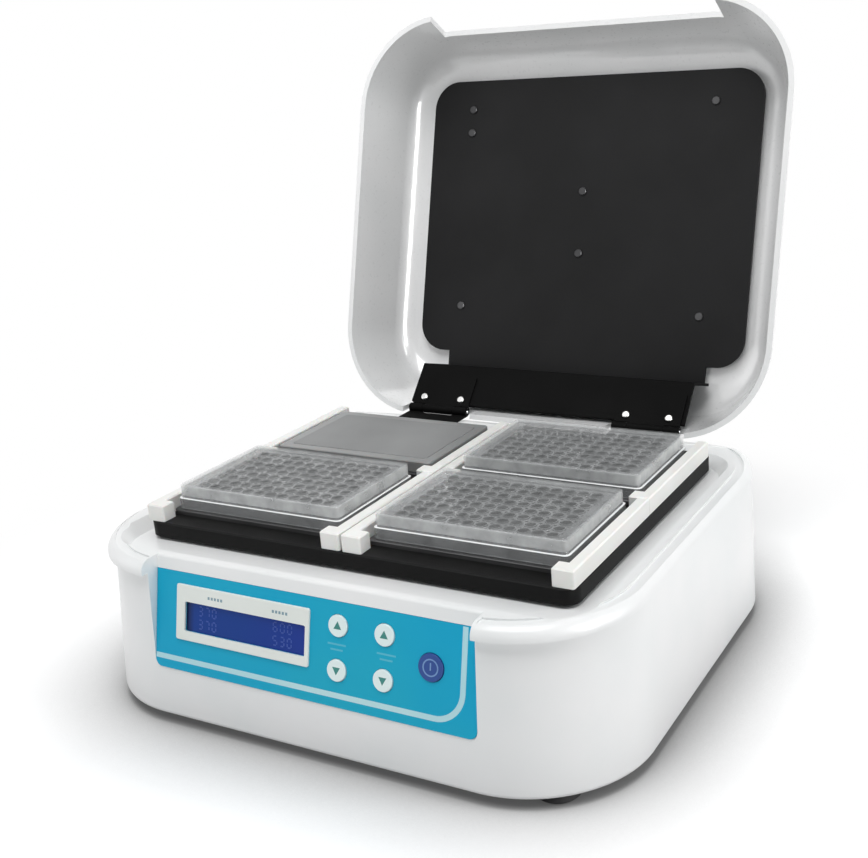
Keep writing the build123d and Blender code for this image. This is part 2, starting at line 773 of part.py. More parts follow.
skirt_level = plate_bottom + plate_flange + 1.4
body_inset = 2.3
with BuildPart() as plate:
    with BuildSketch(level(plate_bottom)):
        RectangleRounded(plate_width, plate_depth, plate_corner)
    extrude(amount=plate_flange)
    with BuildSketch(level(plate_bottom + plate_flange)):
        RectangleRounded(plate_width - body_inset, plate_depth - body_inset, plate_corner)
    extrude(amount=skirt_level - plate_bottom - plate_flange)
    with BuildSketch(level(skirt_level)):
        RectangleRounded(plate_width - 2.3 * body_inset, plate_depth - 2.3 * body_inset, plate_corner)
    extrude(amount=plate_bottom + plate_height - skirt_level)
    with BuildSketch(level(plate_bottom + plate_height)):
        with GridLocations(well_pitch, well_pitch, 12, 8):
            Rectangle(well_size, well_size)
    extrude(amount=-well_deep, mode=Mode.SUBTRACT)

cover_wall = 1.1
cover_width = plate_width - body_inset
cover_depth = plate_depth - body_inset
with BuildPart() as cover:
    with BuildSketch(level(skirt_level + part_gap)):
        RectangleRounded(cover_width, cover_depth, plate_corner)
    extrude(amount=plate_bottom + cover_top - skirt_level - part_gap)
    chamfer(cover.edges().group_by(Axis.Z)[-1], 0.9)
    with BuildSketch(level(skirt_level + part_gap)):
        RectangleRounded(cover_width - 2 * cover_wall, cover_depth - 2 * cover_wall, plate_corner - cover_wall)
    extrude(amount=plate_bottom + cover_top - cover_wall - skirt_level - part_gap, mode=Mode.SUBTRACT)

# the plate at the rear left is a shallow one, closed by a sealing mat inside its rim
sealed_top = plate_bottom + sealed_height
with BuildPart() as sealed_plate:
    with BuildSketch(level(plate_bottom)):
        RectangleRounded(plate_width, plate_depth, plate_corner)
    extrude(amount=sealed_height)
    chamfer(sealed_plate.edges().group_by(Axis.Z)[-1], 0.6)
    with BuildSketch(level(sealed_top)):
        RectangleRounded(plate_width - 2 * sealed_rim, plate_depth - 2 * sealed_rim, plate_corner)
    extrude(amount=-mat_thickness, mode=Mode.SUBTRACT)
    with BuildSketch(level(sealed_top - mat_thickness)):
        with GridLocations(well_pitch, well_pitch, 12, 7):
            Circle(well_size / 2)
    extrude(amount=-4, mode=Mode.SUBTRACT)

with BuildPart() as sealing_mat:
    with BuildSketch(level(sealed_top - mat_thickness + part_gap)):
        RectangleRounded(
            plate_width - 2 * sealed_rim - 2 * part_gap, plate_depth - 2 * sealed_rim - 2 * part_gap,
            plate_corner - part_gap,
        )
    extrude(amount=mat_thickness)
    chamfer(sealing_mat.edges().group_by(Axis.Z)[-1], 0.3)

for number, (x, y) in enumerate(plate_places, 1):
    pair = (sealed_plate, sealing_mat) if number == 3 else (plate, cover)
    for kind, shape in zip(("microplate", "plate_cover"), pair):
        placed = shape.part.moved(Pos(x, y, 0))
        placed.label = f"{kind}_{number}"
        export_step(placed, f"parts/{kind}_{number}.step")

# ---- lid -------------------------------------------------------------------------------


def lid_outline(inset, corner):
    """The lid's rounded outline, drawn in by inset on every side."""
    with Locations((0, lid_depth / 2)):
        RectangleRounded(lid_width - 2 * inset, lid_depth - 2 * inset, corner)


plate_middle = (inner_plate_span[0] + inner_plate_span[1]) / 2
plate_length = inner_plate_span[1] - inner_plate_span[0]
pad_depth = lid_height - lid_wall
inner_taper = lid_taper * pad_depth / lid_height
screw_x = inner_plate_width / 2 - 37.0
screw_first, screw_last = inner_plate_span[0] + 38.0, inner_plate_span[1] - 23.5
lid_screws = [(side * screw_x, place) for side in (-1, 1) for place in (screw_first, screw_last)]
lid_screws += [(-screw_x, screw_last - 19.0), (0, plate_middle + 21.0), (0, plate_middle - 28.0)]

with BuildPart() as lid_cavity:
    with BuildSketch(at_depth(0)):
        lid_outline(lid_wall, lid_corner - lid_wall)
    with BuildSketch(at_depth(pad_depth)):
        lid_outline(lid_wall + inner_taper, lid_corner - lid_wall - inner_taper)
    loft()
    fillet(lid_cavity.faces().sort_by(Axis((0, 0, 0), lid_plane.z_dir))[0].edges(), lid_round - lid_wall)

with BuildPart() as lid_shell:
    with BuildSketch(at_depth(0)):
        lid_outline(0, lid_corner)
    with BuildSketch(at_depth(lid_height)):
        lid_outline(lid_taper, lid_corner - lid_taper)
    loft()
    fillet(lid_shell.faces().sort_by(Axis((0, 0, 0), lid_plane.z_dir))[0].edges(), lid_round)
    add(lid_cavity.part, mode=Mode.SUBTRACT)
    # wide finger notch in the front wall
    with BuildSketch(at_depth(notch_height)):
        with Locations((0, lid_depth)):
            Rectangle(notch_width, 6 * lid_wall)
    extrude(amount=notch_height + 1, mode=Mode.SUBTRACT)
    # notches in the rear wall that clear the hinge leaves
    with BuildSketch(at_depth(hinge_notch_height)):
        for side in (-1, 1):
            with Locations((side * (hinge_notch[0] + hinge_notch[1]) / 2, 0)):
                Rectangle(hinge_notch[1] - hinge_notch[0], 6 * lid_wall)
    extrude(amount=hinge_notch_height + 1, mode=Mode.SUBTRACT)
    # blind holes for the inner plate's screws
    with BuildSketch(at_depth(pad_depth)):
        with Locations(*lid_screws):
            Circle(screw_gauge + slip / 2)
    extrude(amount=-(lid_wall - 1.4), mode=Mode.SUBTRACT)
lid_shell.part.label = "lid_shell"
export_step(lid_shell.part, "parts/lid_shell.step")

with BuildPart() as lid_insulation:
    with BuildSketch(at_depth(pad_depth)):
        with Locations((0, plate_middle)):
            RectangleRounded(inner_plate_width - 26, plate_length - 16, inner_plate_corner)
        with Locations(*lid_screws):
            Circle(screw_gauge + slip, mode=Mode.SUBTRACT)
    extrude(amount=pad_depth - inner_plate_depth - sheet)
lid_insulation.part.label = "lid_insulation"
export_step(lid_insulation.part, "parts/lid_insulation.step")

bracket_half = 116.0
tab_half = 112.5
web_place = inner_plate_span[0] - 13.0     # bracket's web, forward of the lid's rear edge
with BuildPart() as lid_inner_plate:
    with BuildSketch(at_depth(inner_plate_depth + sheet)):
        with Locations((0, plate_middle)):
            RectangleRounded(inner_plate_width, plate_length, inner_plate_corner)
        # tab that reaches down behind the hinge bracket
        with Locations((0, (web_place - sheet / 2 + plate_middle) / 2)):
            Rectangle(2 * tab_half, plate_middle - web_place + sheet / 2)
        with Locations(*lid_screws):
            Circle(screw_gauge + slip, mode=Mode.SUBTRACT)
    extrude(amount=sheet)
lid_inner_plate.part.label = "lid_inner_plate"
export_step(lid_inner_plate.part, "parts/lid_inner_plate.step")

with BuildPart() as lid_plate_screws:
    with BuildSketch(at_depth(lid_height - 1.6)):
        with Locations(*lid_screws):
            Circle(screw_gauge)
    extrude(amount=lid_height - 1.6 - inner_plate_depth)
    with BuildSketch(at_depth(inner_plate_depth)):
        with Locations(*lid_screws):
            Circle(2 * screw_gauge)
    extrude(amount=1.4)
    chamfer(lid_plate_screws.edges().group_by(Axis((0, 0, 0), lid_plane.z_dir))[-1], 0.5)
lid_plate_screws.part.label = "lid_plate_screws"
export_step(lid_plate_screws.part, "parts/lid_plate_screws.step")

# ---- hinges ----------------------------------------------------------------------------

# In the lid's side view the bracket's flange runs up from the hinge axis at flange_lean.
run = (cos(radians(flange_lean)), sin(radians(flange_lean)))


def from_axis(along, off):
    """Point in the lid's side view: along the flange from the hinge axis, and off it."""
    forward = axis_in_lid[0] + along * run[0] - off * run[1]
    deep = axis_in_lid[1] + along * run[1] + off * run[0]
    return (forward, -deep)


leaf_half = leaf_thickness / 2
flange_start = knuckle_radius + 2.4
near = leaf_half
far = leaf_half + sheet
reach_far = (web_place - sheet / 2 - axis_in_lid[0] + far * run[1]) / run[0]
reach_near = (web_place + sheet / 2 - axis_in_lid[0] + near * run[1]) / run[0]
with BuildPart() as hinge_bracket:
    # bent sheet: a flange on the hinges and a web up to the inner plate
    with BuildSketch(lid_section):
        with BuildLine():
            Polyline(
                from_axis(flange_start, near), from_axis(reach_near, near),
                (web_place + sheet / 2, -inner_plate_depth), (web_place - sheet / 2, -inner_plate_depth),
                from_axis(reach_far, far), from_axis(flange_start, far), close=True,
            )
        make_face()
    extrude(amount=bracket_half, both=True)
    fillet(hinge_bracket.edges().filter_by(Axis.X).group_by(Axis.Y)[0], 0.5)
flange_plane = Plane(
    origin=lid_section.from_local_coords(from_axis(0, 0)),
    x_dir=(1, 0, 0),
    z_dir=lid_section.from_local_coords(from_axis(0, -1)) - lid_section.from_local_coords(from_axis(0, 0)),
)
leaf_screws = [(side * x, 9.6) for side in (-1, 1) for x in (hinge_span[0] + 8.5, hinge_span[1] - 10)]
with BuildPart() as bracket_holes:
    with BuildSketch(flange_plane.offset(-far - 1)):
        with Locations(*leaf_screws):
            Circle(screw_gauge + slip)
    extrude(amount=far + 4)
hinge_bracket = hinge_bracket.part - bracket_holes.part
hinge_bracket.label = "hinge_bracket"
export_step(hinge_bracket, "parts/hinge_bracket.step")

hinge_axis = Plane(origin=(0, shaft_y + hinge_y, hinge_z), x_dir=(0, 1, 0), z_dir=(1, 0, 0))
hinge_middle = (hinge_span[0] + hinge_span[1]) / 2
outer_knuckle = 12.0
leaf_reach = 30.0


def knuckle(start, length):
    """Tube on the hinge axis, from start along +X."""
    with BuildPart() as made:
        with BuildSketch(hinge_axis.offset(start)):
            Circle(knuckle_radius)
        extrude(amount=length)
    return made.part


with BuildPart() as pin_bore:
    with BuildSketch(hinge_axis.offset(-hinge_span[1] - 1)):
        Circle(hinge_pin_radius + running_fit)
    extrude(amount=2 * hinge_span[1] + 2)

middle_knuckle = hinge_span[1] - hinge_span[0] - 2 * outer_knuckle - 2 * knuckle_gap
moving, fixed, pins = [], [], []
for side in (-1, 1):
    start = side * hinge_middle - (hinge_span[1] - hinge_span[0]) / 2
    with BuildPart() as leaf:
        with BuildSketch(flange_plane.offset(-leaf_half)):
            with Locations((side * hinge_middle, (leaf_reach + knuckle_radius + 0.5) / 2)):
                Rectangle(hinge_span[1] - hinge_span[0] - 1, leaf_reach - knuckle_radius - 0.5)
            with Locations((side * hinge_middle, knuckle_radius)):
                Rectangle(middle_knuckle, 2 * knuckle_radius)
            with Locations(*[place for place in leaf_screws if place[0] * side > 0]):
                Circle(screw_gauge + slip, mode=Mode.SUBTRACT)
        extrude(amount=leaf_thickness)
    moving.append(leaf.part + knuckle(start + outer_knuckle + knuckle_gap, middle_knuckle) - pin_bore.part)
    with BuildPart() as leaf:
        # flat leaf on the deck, with tongues under its two knuckles
        with BuildSketch(level(deck_height)):
            with Locations((side * hinge_middle, hinge_y - 15.2)):
                Rectangle(hinge_span[1] - hinge_span[0], 20.8)
            for end in (-1, 1):
                middle = side * hinge_middle + end * (hinge_span[1] - hinge_span[0] - outer_knuckle) / 2
                with Locations((middle, hinge_y - 3)):
                    Rectangle(outer_knuckle, 6)
            with Locations((side * hinge_middle - 16, hinge_y - 20), (side * hinge_middle + 16, hinge_y - 20)):
                Circle(screw_gauge + slip, mode=Mode.SUBTRACT)
        extrude(amount=leaf_thickness)
    tubes = knuckle(start, outer_knuckle) + knuckle(
        start + hinge_span[1] - hinge_span[0] - outer_knuckle, outer_knuckle
    )
    fixed.append(leaf.part + tubes - pin_bore.part)
    with BuildPart() as pin:
        with BuildSketch(hinge_axis.offset(start - 0.8)):
            Circle(hinge_pin_radius)
        extrude(amount=hinge_span[1] - hinge_span[0] + 1.6)
        chamfer(pin.edges().filter_by(GeomType.CIRCLE), 0.3)
    pins.append(pin.part)
for name, pieces in (("hinge_moving_leaves", moving), ("hinge_fixed_leaves", fixed), ("hinge_pins", pins)):
    export_step(Compound(children=pieces, label=name), f"parts/{name}.step")

with BuildPart() as hinge_screws:
    # domed heads on the leaves, shanks through leaf and flange
    with BuildSketch(flange_plane.offset(-far - 1.2)):
        with Locations(*leaf_screws):
            Circle(screw_gauge)
    extrude(amount=far + 1.2 + leaf_half)
    with BuildSketch(flange_plane.offset(leaf_half)):
        with Locations(*leaf_screws):
            Circle(2.9)
    extrude(amount=1.8)
    fillet(hinge_screws.edges().group_by(Axis((0, 0, 0), flange_plane.z_dir))[-1], 1.2)
hinge_screws.part.label = "hinge_screws"
export_step(hinge_screws.part, "parts/hinge_screws.step")

# ---- power inlet, switch, fan and supply -----------------------------------------------


def on_rear(centre, out=0.0):
    """Plane on the rear wall, +Y out of it and +Z up it."""
    rear_y = shaft_y + base_back + out
    return Plane(origin=(centre[0], rear_y, centre[1]), x_dir=(-1, 0, 0), z_dir=(0, 1, 0))


socket_depth = 16.0
with BuildPart() as power_inlet:
    with BuildSketch(on_rear(inlet_centre, -socket_depth - 6)):
        RectangleRounded(27.4, 20.0, 2.8)
    extrude(amount=socket_depth + 6)
    with BuildSketch(on_rear(inlet_centre)):
        RectangleRounded(50, 26, 4)
        with GridLocations(40, 1, 2, 1):
            Circle(1.7, mode=Mode.SUBTRACT)
    extrude(amount=2.6)
    chamfer(power_inlet.faces().sort_by(Axis.Y)[-1].outer_wire().edges(), 0.8)
    # socket with two cut corners, and its three blades
    with BuildSketch(on_rear(inlet_centre, -socket_depth)) as mouth:
        Rectangle(24.0, 16.4)
        chamfer(mouth.vertices().group_by(Axis.Y)[-1], 4.2)
    extrude(amount=socket_depth + 3, mode=Mode.SUBTRACT)
    with BuildSketch(on_rear(inlet_centre, -socket_depth)):
        with Locations((-7, -2), (7, -2), (0, 3)):
            Rectangle(2, 4)
    extrude(amount=socket_depth - 4)
power_inlet.part.label = "power_inlet"
export_step(power_inlet.part, "parts/power_inlet.step")

slot_height = 24.6
slot_width = 10.6
trunnion_radius = 1.2
rocker_tilt = radians(9.0)    # at rest the rocker is tipped to its off side
rocker_axis = Plane(
    origin=(switch_centre[0], shaft_y + base_back - 1.0, switch_centre[1]),
    x_dir=(0, cos(rocker_tilt), -sin(rocker_tilt)), z_dir=(1, 0, 0),
)
with BuildPart() as switch_frame:
    with BuildSketch(on_rear(switch_centre, -15)):
        RectangleRounded(12.8, 27.0, 1)
    extrude(amount=15)
    with BuildSketch(on_rear(switch_centre)):
        RectangleRounded(15.6, 31, 2)
    extrude(amount=1.8)
    chamfer(switch_frame.faces().sort_by(Axis.Y)[-1].outer_wire().edges(), 0.6)
    with BuildSketch(on_rear(switch_centre, -9)):
        Rectangle(slot_width, slot_height)
    extrude(amount=12, mode=Mode.SUBTRACT)
    # holes for the rocker's trunnions
    with BuildSketch(rocker_axis.offset(-8)):
        Circle(trunnion_radius + running_fit)
    extrude(amount=16, mode=Mode.SUBTRACT)
switch_frame.part.label = "switch_frame"
export_step(switch_frame.part, "parts/switch_frame.step")

with BuildPart() as switch_rocker:
    with BuildSketch(rocker_axis):
        with BuildLine():
            Polyline(
                (-4.5, 7.5), (0.5, 11.6), (3.6, 11.2), (1.8, 0),
                (3.6, -11.2), (0.5, -11.6), (-4.5, -7.5), close=True,
            )
        make_face()
    extrude(amount=slot_width / 2 - part_gap, both=True)
    fillet(switch_rocker.edges().filter_by(Axis.X).group_by(Axis.Y)[-1], 0.8)
    with BuildSketch(rocker_axis):
        Circle(trunnion_radius)
    extrude(amount=slot_width / 2 + 0.9, both=True)
switch_rocker.part.label = "switch_rocker"
export_step(switch_rocker.part, "parts/switch_rocker.step")

fan_back = wall + fan_depth
fan_bore = fan_size / 2 - 1.5
with BuildPart() as fan_frame:
    with BuildSketch(on_rear(fan_centre, -fan_back)):
        RectangleRounded(fan_size, fan_size, 3)
        Circle(fan_bore, mode=Mode.SUBTRACT)
        with GridLocations(fan_size - 10, fan_size - 10, 2, 2):
            Circle(2.1, mode=Mode.SUBTRACT)
    extrude(amount=fan_depth)
    # hub carried on three arms
    with BuildSketch(on_rear(fan_centre, -fan_back)):
        Circle(11)
        with PolarLocations(20, 3):
            Rectangle(20, 3.4)
    extrude(amount=2.4)
    with BuildSketch(on_rear(fan_centre, -fan_back)):
        Circle(1.5)
    extrude(amount=fan_depth - 3)
fan_frame.part.label = "fan_frame"
export_step(fan_frame.part, "parts/fan_frame.step")

with BuildPart() as fan_rotor:
    rotor_base = -fan_back + 2.4 + 0.4
    with BuildSketch(on_rear(fan_centre, rotor_base)):
        Circle(12)
        Circle(1.5 + running_fit, mode=Mode.SUBTRACT)
    extrude(amount=fan_depth - 2.4 - 1.4)
    chamfer(fan_rotor.edges().filter_by(GeomType.CIRCLE).sort_by(Axis.Y)[-1], 0.1)
    # seven pitched blades, each lofted from root to tip
    blades = 7
    for blade in range(blades):
        turned = 2 * 180 / blades * blade
        for radius, pitch in ((11.0, 40.0), (fan_bore - 0.9, 58.0)):
            spoke = Vector(-cos(radians(turned)), 0, sin(radians(turned)))
            across = Vector(sin(radians(turned)), 0, cos(radians(turned)))
            chord = across * sin(radians(pitch)) + Vector(0, 1, 0) * cos(radians(pitch))
            blade_y = shaft_y + base_back + rotor_base + 5.4
            middle = Vector(fan_centre[0], blade_y, fan_centre[1]) + spoke * radius
            with BuildSketch(Plane(origin=middle, x_dir=chord, z_dir=spoke)):
                Rectangle(9.5 if radius < 12 else 12.0, 1.1)
        loft()
fan_rotor.part.label = "fan_rotor"
export_step(fan_rotor.part, "parts/fan_rotor.step")

supply_centre = (-100.0, 78.0)
supply_level = plate_level + sheet + 5
with BuildPart() as power_supply:
    # open-frame supply: board on stand-offs, transformer, capacitors and a finned heat sink
    with BuildSketch(level(supply_level)):
        with Locations(supply_centre):
            Rectangle(112, 72)
    extrude(amount=1.6)
    with BuildSketch(level(plate_level + sheet)):
        with Locations(supply_centre):
            with GridLocations(102, 62, 2, 2):
                Circle(3)
    extrude(amount=5)
    with BuildSketch(level(supply_level + 1.6)):
        with Locations((supply_centre[0] + 4, supply_centre[1] + 4)):
            Rectangle(34, 30)
    extrude(amount=24)
    with BuildSketch(level(supply_level + 1.6)):
        with Locations((supply_centre[0] - 38, supply_centre[1] - 18), (supply_centre[0] - 38, supply_centre[1] + 8)):
            Circle(9)
    extrude(amount=28)
    with BuildSketch(level(supply_level + 1.6)):
        with Locations((supply_centre[0] + 40, supply_centre[1])):
            Rectangle(4, 60)
            with GridLocations(6, 10, 1, 6):
                Rectangle(14, 2)
    extrude(amount=26)
power_supply.part.label = "power_supply"
export_step(power_supply.part, "parts/power_supply.step")
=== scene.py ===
import math

import bmesh
import bpy
from mathutils import Matrix, Vector


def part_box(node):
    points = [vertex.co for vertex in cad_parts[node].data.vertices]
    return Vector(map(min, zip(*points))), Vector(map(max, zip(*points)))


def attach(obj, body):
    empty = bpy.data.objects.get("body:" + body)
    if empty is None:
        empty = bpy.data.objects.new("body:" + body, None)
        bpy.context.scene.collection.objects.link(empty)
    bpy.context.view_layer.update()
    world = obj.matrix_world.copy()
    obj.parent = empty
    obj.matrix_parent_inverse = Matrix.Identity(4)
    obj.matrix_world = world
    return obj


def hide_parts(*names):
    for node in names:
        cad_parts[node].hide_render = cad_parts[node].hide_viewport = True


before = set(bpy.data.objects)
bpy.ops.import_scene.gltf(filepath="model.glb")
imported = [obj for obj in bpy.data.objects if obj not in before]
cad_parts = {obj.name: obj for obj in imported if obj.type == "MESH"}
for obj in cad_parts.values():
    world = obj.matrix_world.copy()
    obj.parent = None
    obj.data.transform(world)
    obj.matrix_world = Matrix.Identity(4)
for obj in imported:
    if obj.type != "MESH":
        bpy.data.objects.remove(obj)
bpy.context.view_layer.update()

# ---- camera ----------------------------------------------------------------------------
# Stands at the right front corner, a little above the open lid's middle, and is turned
# slightly about its own axis. Sizes are in metres.

housing_middle = Vector((0, -0.0625, 0))
camera_place = Vector((0.4044, -0.7101, 0.3945))
camera_target = housing_middle + Vector((0.0321, 0, 0.1440))
camera_roll = math.radians(-4.2)
sight = (camera_target - camera_place).normalized()
right = sight.cross(Vector((0, 0, 1))).normalized()
over = right.cross(sight)
turned_right = right * math.cos(camera_roll) + over * math.sin(camera_roll)
turned_over = over * math.cos(camera_roll) - right * math.sin(camera_roll)
camera_data = bpy.data.cameras.new("camera")
camera_data.sensor_fit = "HORIZONTAL"
camera_data.sensor_width = 36
camera_data.lens = 50.71
camera_data.shift_x = -0.049
camera_data.shift_y = 0.016
camera_data.clip_start = 0.02
camera = bpy.data.objects.new("camera", camera_data)
camera.matrix_world = Matrix.Translation(camera_place) @ Matrix(
    (turned_right, turned_over, -sight)
).transposed().to_4x4()
bpy.context.scene.collection.objects.link(camera)
bpy.context.scene.camera = camera

# ---- white room ------------------------------------------------------------------------
# An evenly lit white room. It lights the object softly, and shows as plain white behind
# it, in its gloss and through its clear pieces.

bpy.context.scene.view_settings.view_transform = "Standard"


def linear(code):
    """A colour written as sRGB hex, as the linear colour the shaders take."""
    channels = [int(code[i:i + 2], 16) / 255 for i in (1, 3, 5)]
    return [c / 12.92 if c <= 0.04045 else ((c + 0.055) / 1.055) ** 2.4 for c in channels] + [1.0]


def add(tree, kind, settings=None, links=None):
    """Adds a node with its settings, by socket or property name, and its incoming links."""
    node = tree.nodes.new(kind)
    for name, value in (settings or {}).items():
        if isinstance(name, int) or name in node.inputs:
            node.inputs[name].default_value = value
        else:
            setattr(node, name, value)
    for name, socket in (links or {}).items():
        tree.links.new(socket, node.inputs[name])
    return node


def sight_ray(tree):
    """1 where the eye looks, straight, by gloss or through a clear piece, and 0 for lighting."""
    ray = add(tree, "ShaderNodeLightPath")
    seen = ray.outputs["Is Camera Ray"]
    for way in ("Is Glossy Ray", "Is Transmission Ray"):
        either = add(tree, "ShaderNodeMath", {"operation": "MAXIMUM"}, {0: seen, 1: ray.outputs[way]})
        seen = either.outputs[0]
    return seen


world = bpy.data.worlds.new("white_room")
bpy.context.scene.world = world
world.use_nodes = True
room = world.node_tree
room.nodes.clear()
room_light = add(room, "ShaderNodeBackground", {"Color": linear("#f4f6f8"), "Strength": 0.30})
room_white = add(room, "ShaderNodeBackground", {"Color": linear("#ffffff"), "Strength": 1.0})
room_mix = add(
    room, "ShaderNodeMixShader", {},
    {0: sight_ray(room), 1: room_light.outputs[0], 2: room_white.outputs[0]},
)
add(room, "ShaderNodeOutputWorld", {}, {"Surface": room_mix.outputs[0]})

# ---- bench -----------------------------------------------------------------------------
# A white laminate bench top with a painted contact shadow: an occlusion test darkens its
# colour and its glow where the housing nearly touches it. It fades into the white room a little past the
# housing.

bench_reach = 9
painted_shadow_reach = 0.09
laminate_white, laminate_veil = 0.92, 0.22
fade_start, fade_end = 0.29, 0.47
bench_mesh = bpy.data.meshes.new("bench")
corners = [(x * bench_reach, y * bench_reach, 0) for x, y in ((-1, -1), (1, -1), (1, 1), (-1, 1))]
bench_mesh.from_pydata(corners, [], [(0, 1, 2, 3)])
bench = bpy.data.objects.new("bench", bench_mesh)
bpy.context.scene.collection.objects.link(bench)
laminate = bpy.data.materials.new("bench_laminate")
laminate.use_nodes = True
top = laminate.node_tree
top.nodes.clear()
# Occlusion near the housing darkens the bench's colour and glow: a painted contact shadow.
near = add(top, "ShaderNodeAmbientOcclusion", {"samples": 16, "Distance": painted_shadow_reach})
shade = add(
    top, "ShaderNodeMapRange", {"From Min": 0.45, "From Max": 1.0, "To Min": 0.26, "To Max": 1.0},
    {"Value": near.outputs["AO"]},
)
white = add(top, "ShaderNodeMath", {"operation": "MULTIPLY", 1: laminate_white}, {0: shade.outputs[0]})
matt = add(top, "ShaderNodeBsdfDiffuse", {}, {"Color": white.outputs[0]})
lift = add(top, "ShaderNodeMath", {"operation": "MULTIPLY", 1: laminate_veil}, {0: sight_ray(top)})
lift = add(top, "ShaderNodeMath", {"operation": "MULTIPLY"}, {0: lift.outputs[0], 1: shade.outputs[0]})
veil = add(top, "ShaderNodeEmission", {"Color": linear("#ffffff")}, {"Strength": lift.outputs[0]})
lifted = add(top, "ShaderNodeAddShader", {}, {0: matt.outputs[0], 1: veil.outputs[0]})
glow = add(top, "ShaderNodeEmission", {"Color": linear("#ffffff"), "Strength": 1.0})
place = add(top, "ShaderNodeNewGeometry")
off_middle = add(
    top, "ShaderNodeVectorMath", {"operation": "SUBTRACT", 1: housing_middle},
    {0: place.outputs["Position"]},
)
away = add(top, "ShaderNodeVectorMath", {"operation": "LENGTH"}, {0: off_middle.outputs[0]})
fade = add(
    top, "ShaderNodeMapRange",
    {"From Min": fade_start, "From Max": fade_end, "interpolation_type": "SMOOTHSTEP"},
    {"Value": away.outputs["Value"]},
)
surface = add(
    top, "ShaderNodeMixShader", {}, {0: fade.outputs[0], 1: lifted.outputs[0], 2: glow.outputs[0]}
)
add(top, "ShaderNodeOutputMaterial", {}, {"Surface": surface.outputs[0]})
bench_mesh.materials.append(laminate)

# ---- lamps -----------------------------------------------------------------------------
# Soft studio lamps: a large one high in front, a tall one at the right, weak ones at the
# left and behind, and a narrow strip that shows only as a line of gloss.

lamps_aim = Vector((0, -0.06, 0.15))
for name, spot, wide, tall, watts in (
    ("lamp_right", (1.6, 0.20, 0.75), 0.45, 1.5, 11.0),
    ("lamp_high", (0.1, -0.7, 2.0), 1.2, 1.2, 25.5),
    ("lamp_left", (-1.7, -0.9, 0.8), 1.2, 1.2, 3.5),
    ("lamp_behind", (-0.3, 1.6, 1.2), 1.2, 1.2, 6.0),
    ("strip_lamp", (1.4, -0.42, 0.5), 0.30, 1.2, 22.0),
):
    lamp_data = bpy.data.lights.new(name, "AREA")
    lamp_data.shape = "RECTANGLE"
    lamp_data.size = wide
    lamp_data.size_y = tall
    lamp_data.energy = watts
    lamp = bpy.data.objects.new(name, lamp_data)
    lamp.visible_diffuse = name != "strip_lamp"
    aim = lamps_aim - Vector(spot)
    lamp.matrix_world = Matrix.Translation(spot) @ aim.to_track_quat("-Z", "Y").to_matrix().to_4x4()
    bpy.context.scene.collection.objects.link(lamp)

# ---- housing ---------------------------------------------------------------------------
# Lower housing and top shell: two thick injection mouldings in off-white plastic, screwed
# together from below. The tool's fine spark texture leaves a satin face with a faint grain.


def finish(name, colour, roughness, metallic=0.0, **sockets):
    """A new finish: its material, node tree and shader, with the shader's constant sockets set."""
    made = bpy.data.materials.new(name)
    made.use_nodes = True
    tree = made.node_tree
    shader = tree.nodes["Principled BSDF"]
    shader.inputs["Base Color"].default_value = linear(colour)
    shader.inputs["Roughness"].default_value = roughness
    shader.inputs["Metallic"].default_value = metallic
    for socket, value in sockets.items():
        shader.inputs[socket.replace("_", " ")].default_value = value
    return made, tree, shader


def grain(tree, shader, size_mm, rough, tint, depth_mm, stretch=(1, 1, 1)):
    """Noise of one real size that varies roughness and raises a bump, over a slow drift of tint.

    A grain too fine to show is drawn coarser than it is, at the size that is passed.
    """
    place = add(tree, "ShaderNodeTexCoord")
    sized = add(tree, "ShaderNodeMapping", {"Scale": stretch}, {"Vector": place.outputs["Object"]})
    noise = add(
        tree, "ShaderNodeTexNoise", {"Scale": 1000 / size_mm, "Detail": 3.0}, {"Vector": sized.outputs[0]}
    )
    smoothest, roughest = rough
    spread = add(
        tree, "ShaderNodeMapRange",
        {"From Min": 0.3, "From Max": 0.7, "To Min": smoothest, "To Max": roughest},
        {"Value": noise.outputs[0]},
    )
    tree.links.new(spread.outputs[0], shader.inputs["Roughness"])
    cloud = add(
        tree, "ShaderNodeTexNoise", {"Scale": 14.0, "Detail": 2.0}, {"Vector": place.outputs["Object"]}
    )
    drift = add(tree, "ShaderNodeValToRGB", {}, {"Fac": cloud.outputs[0]})
    for stop, position, colour in zip(drift.color_ramp.elements, (0.35, 0.65), tint):
        stop.position = position
        stop.color = linear(colour)
    tree.links.new(drift.outputs[0], shader.inputs["Base Color"])
    bump = add(
        tree, "ShaderNodeBump", {"Strength": 0.5, "Distance": depth_mm / 1000}, {"Height": noise.outputs[0]}
    )
    tree.links.new(bump.outputs[0], shader.inputs["Normal"])


def soften(piece, angle):
    """Splits a smooth-shaded piece at its sharp edges, so that they stay crisp."""
    split = piece.modifiers.new("smooth_up_to", "EDGE_SPLIT")
    split.split_angle = math.radians(angle)
    return split


def dress(nodes, made):
    """Gives CAD nodes a finish, with smooth shading up to a sharp edge."""
    for name in nodes:
        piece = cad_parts[name]
        piece.data.materials.clear()
        piece.data.materials.append(made)
        piece.data.shade_smooth()
        soften(piece, 32).use_edge_sharp = False


moulded, tree, shader = finish(
    "satin_moulded_plastic", "#eceded", 0.32, Coat_Weight=0.25, Coat_Roughness=0.12
)
grain(tree, shader, 2.0, (0.28, 0.38), ("#e9ebeb", "#efefef"), 0.012)
dress(["lower_housing", "upper_housing"], moulded)

# ---- base plate and counterweight ------------------------------------------------------
# Pressed and machined steel, zinc plated against rust. The plating's spangle shows as
# soft grey patches a few millimetres across.

zinc, tree, shader = finish("zinc_plated_steel", "#b9bcbe", 0.4, 1.0)
grain(tree, shader, 6.0, (0.28, 0.5), ("#aeb2b5", "#c6c9cb"), 0.01)
dress(["base_plate", "counterweight"], zinc)

# ---- feet ------------------------------------------------------------------------------
# Four black rubber feet, compression moulded and pushed into the base plate. Dull, with a
# dusty grain.

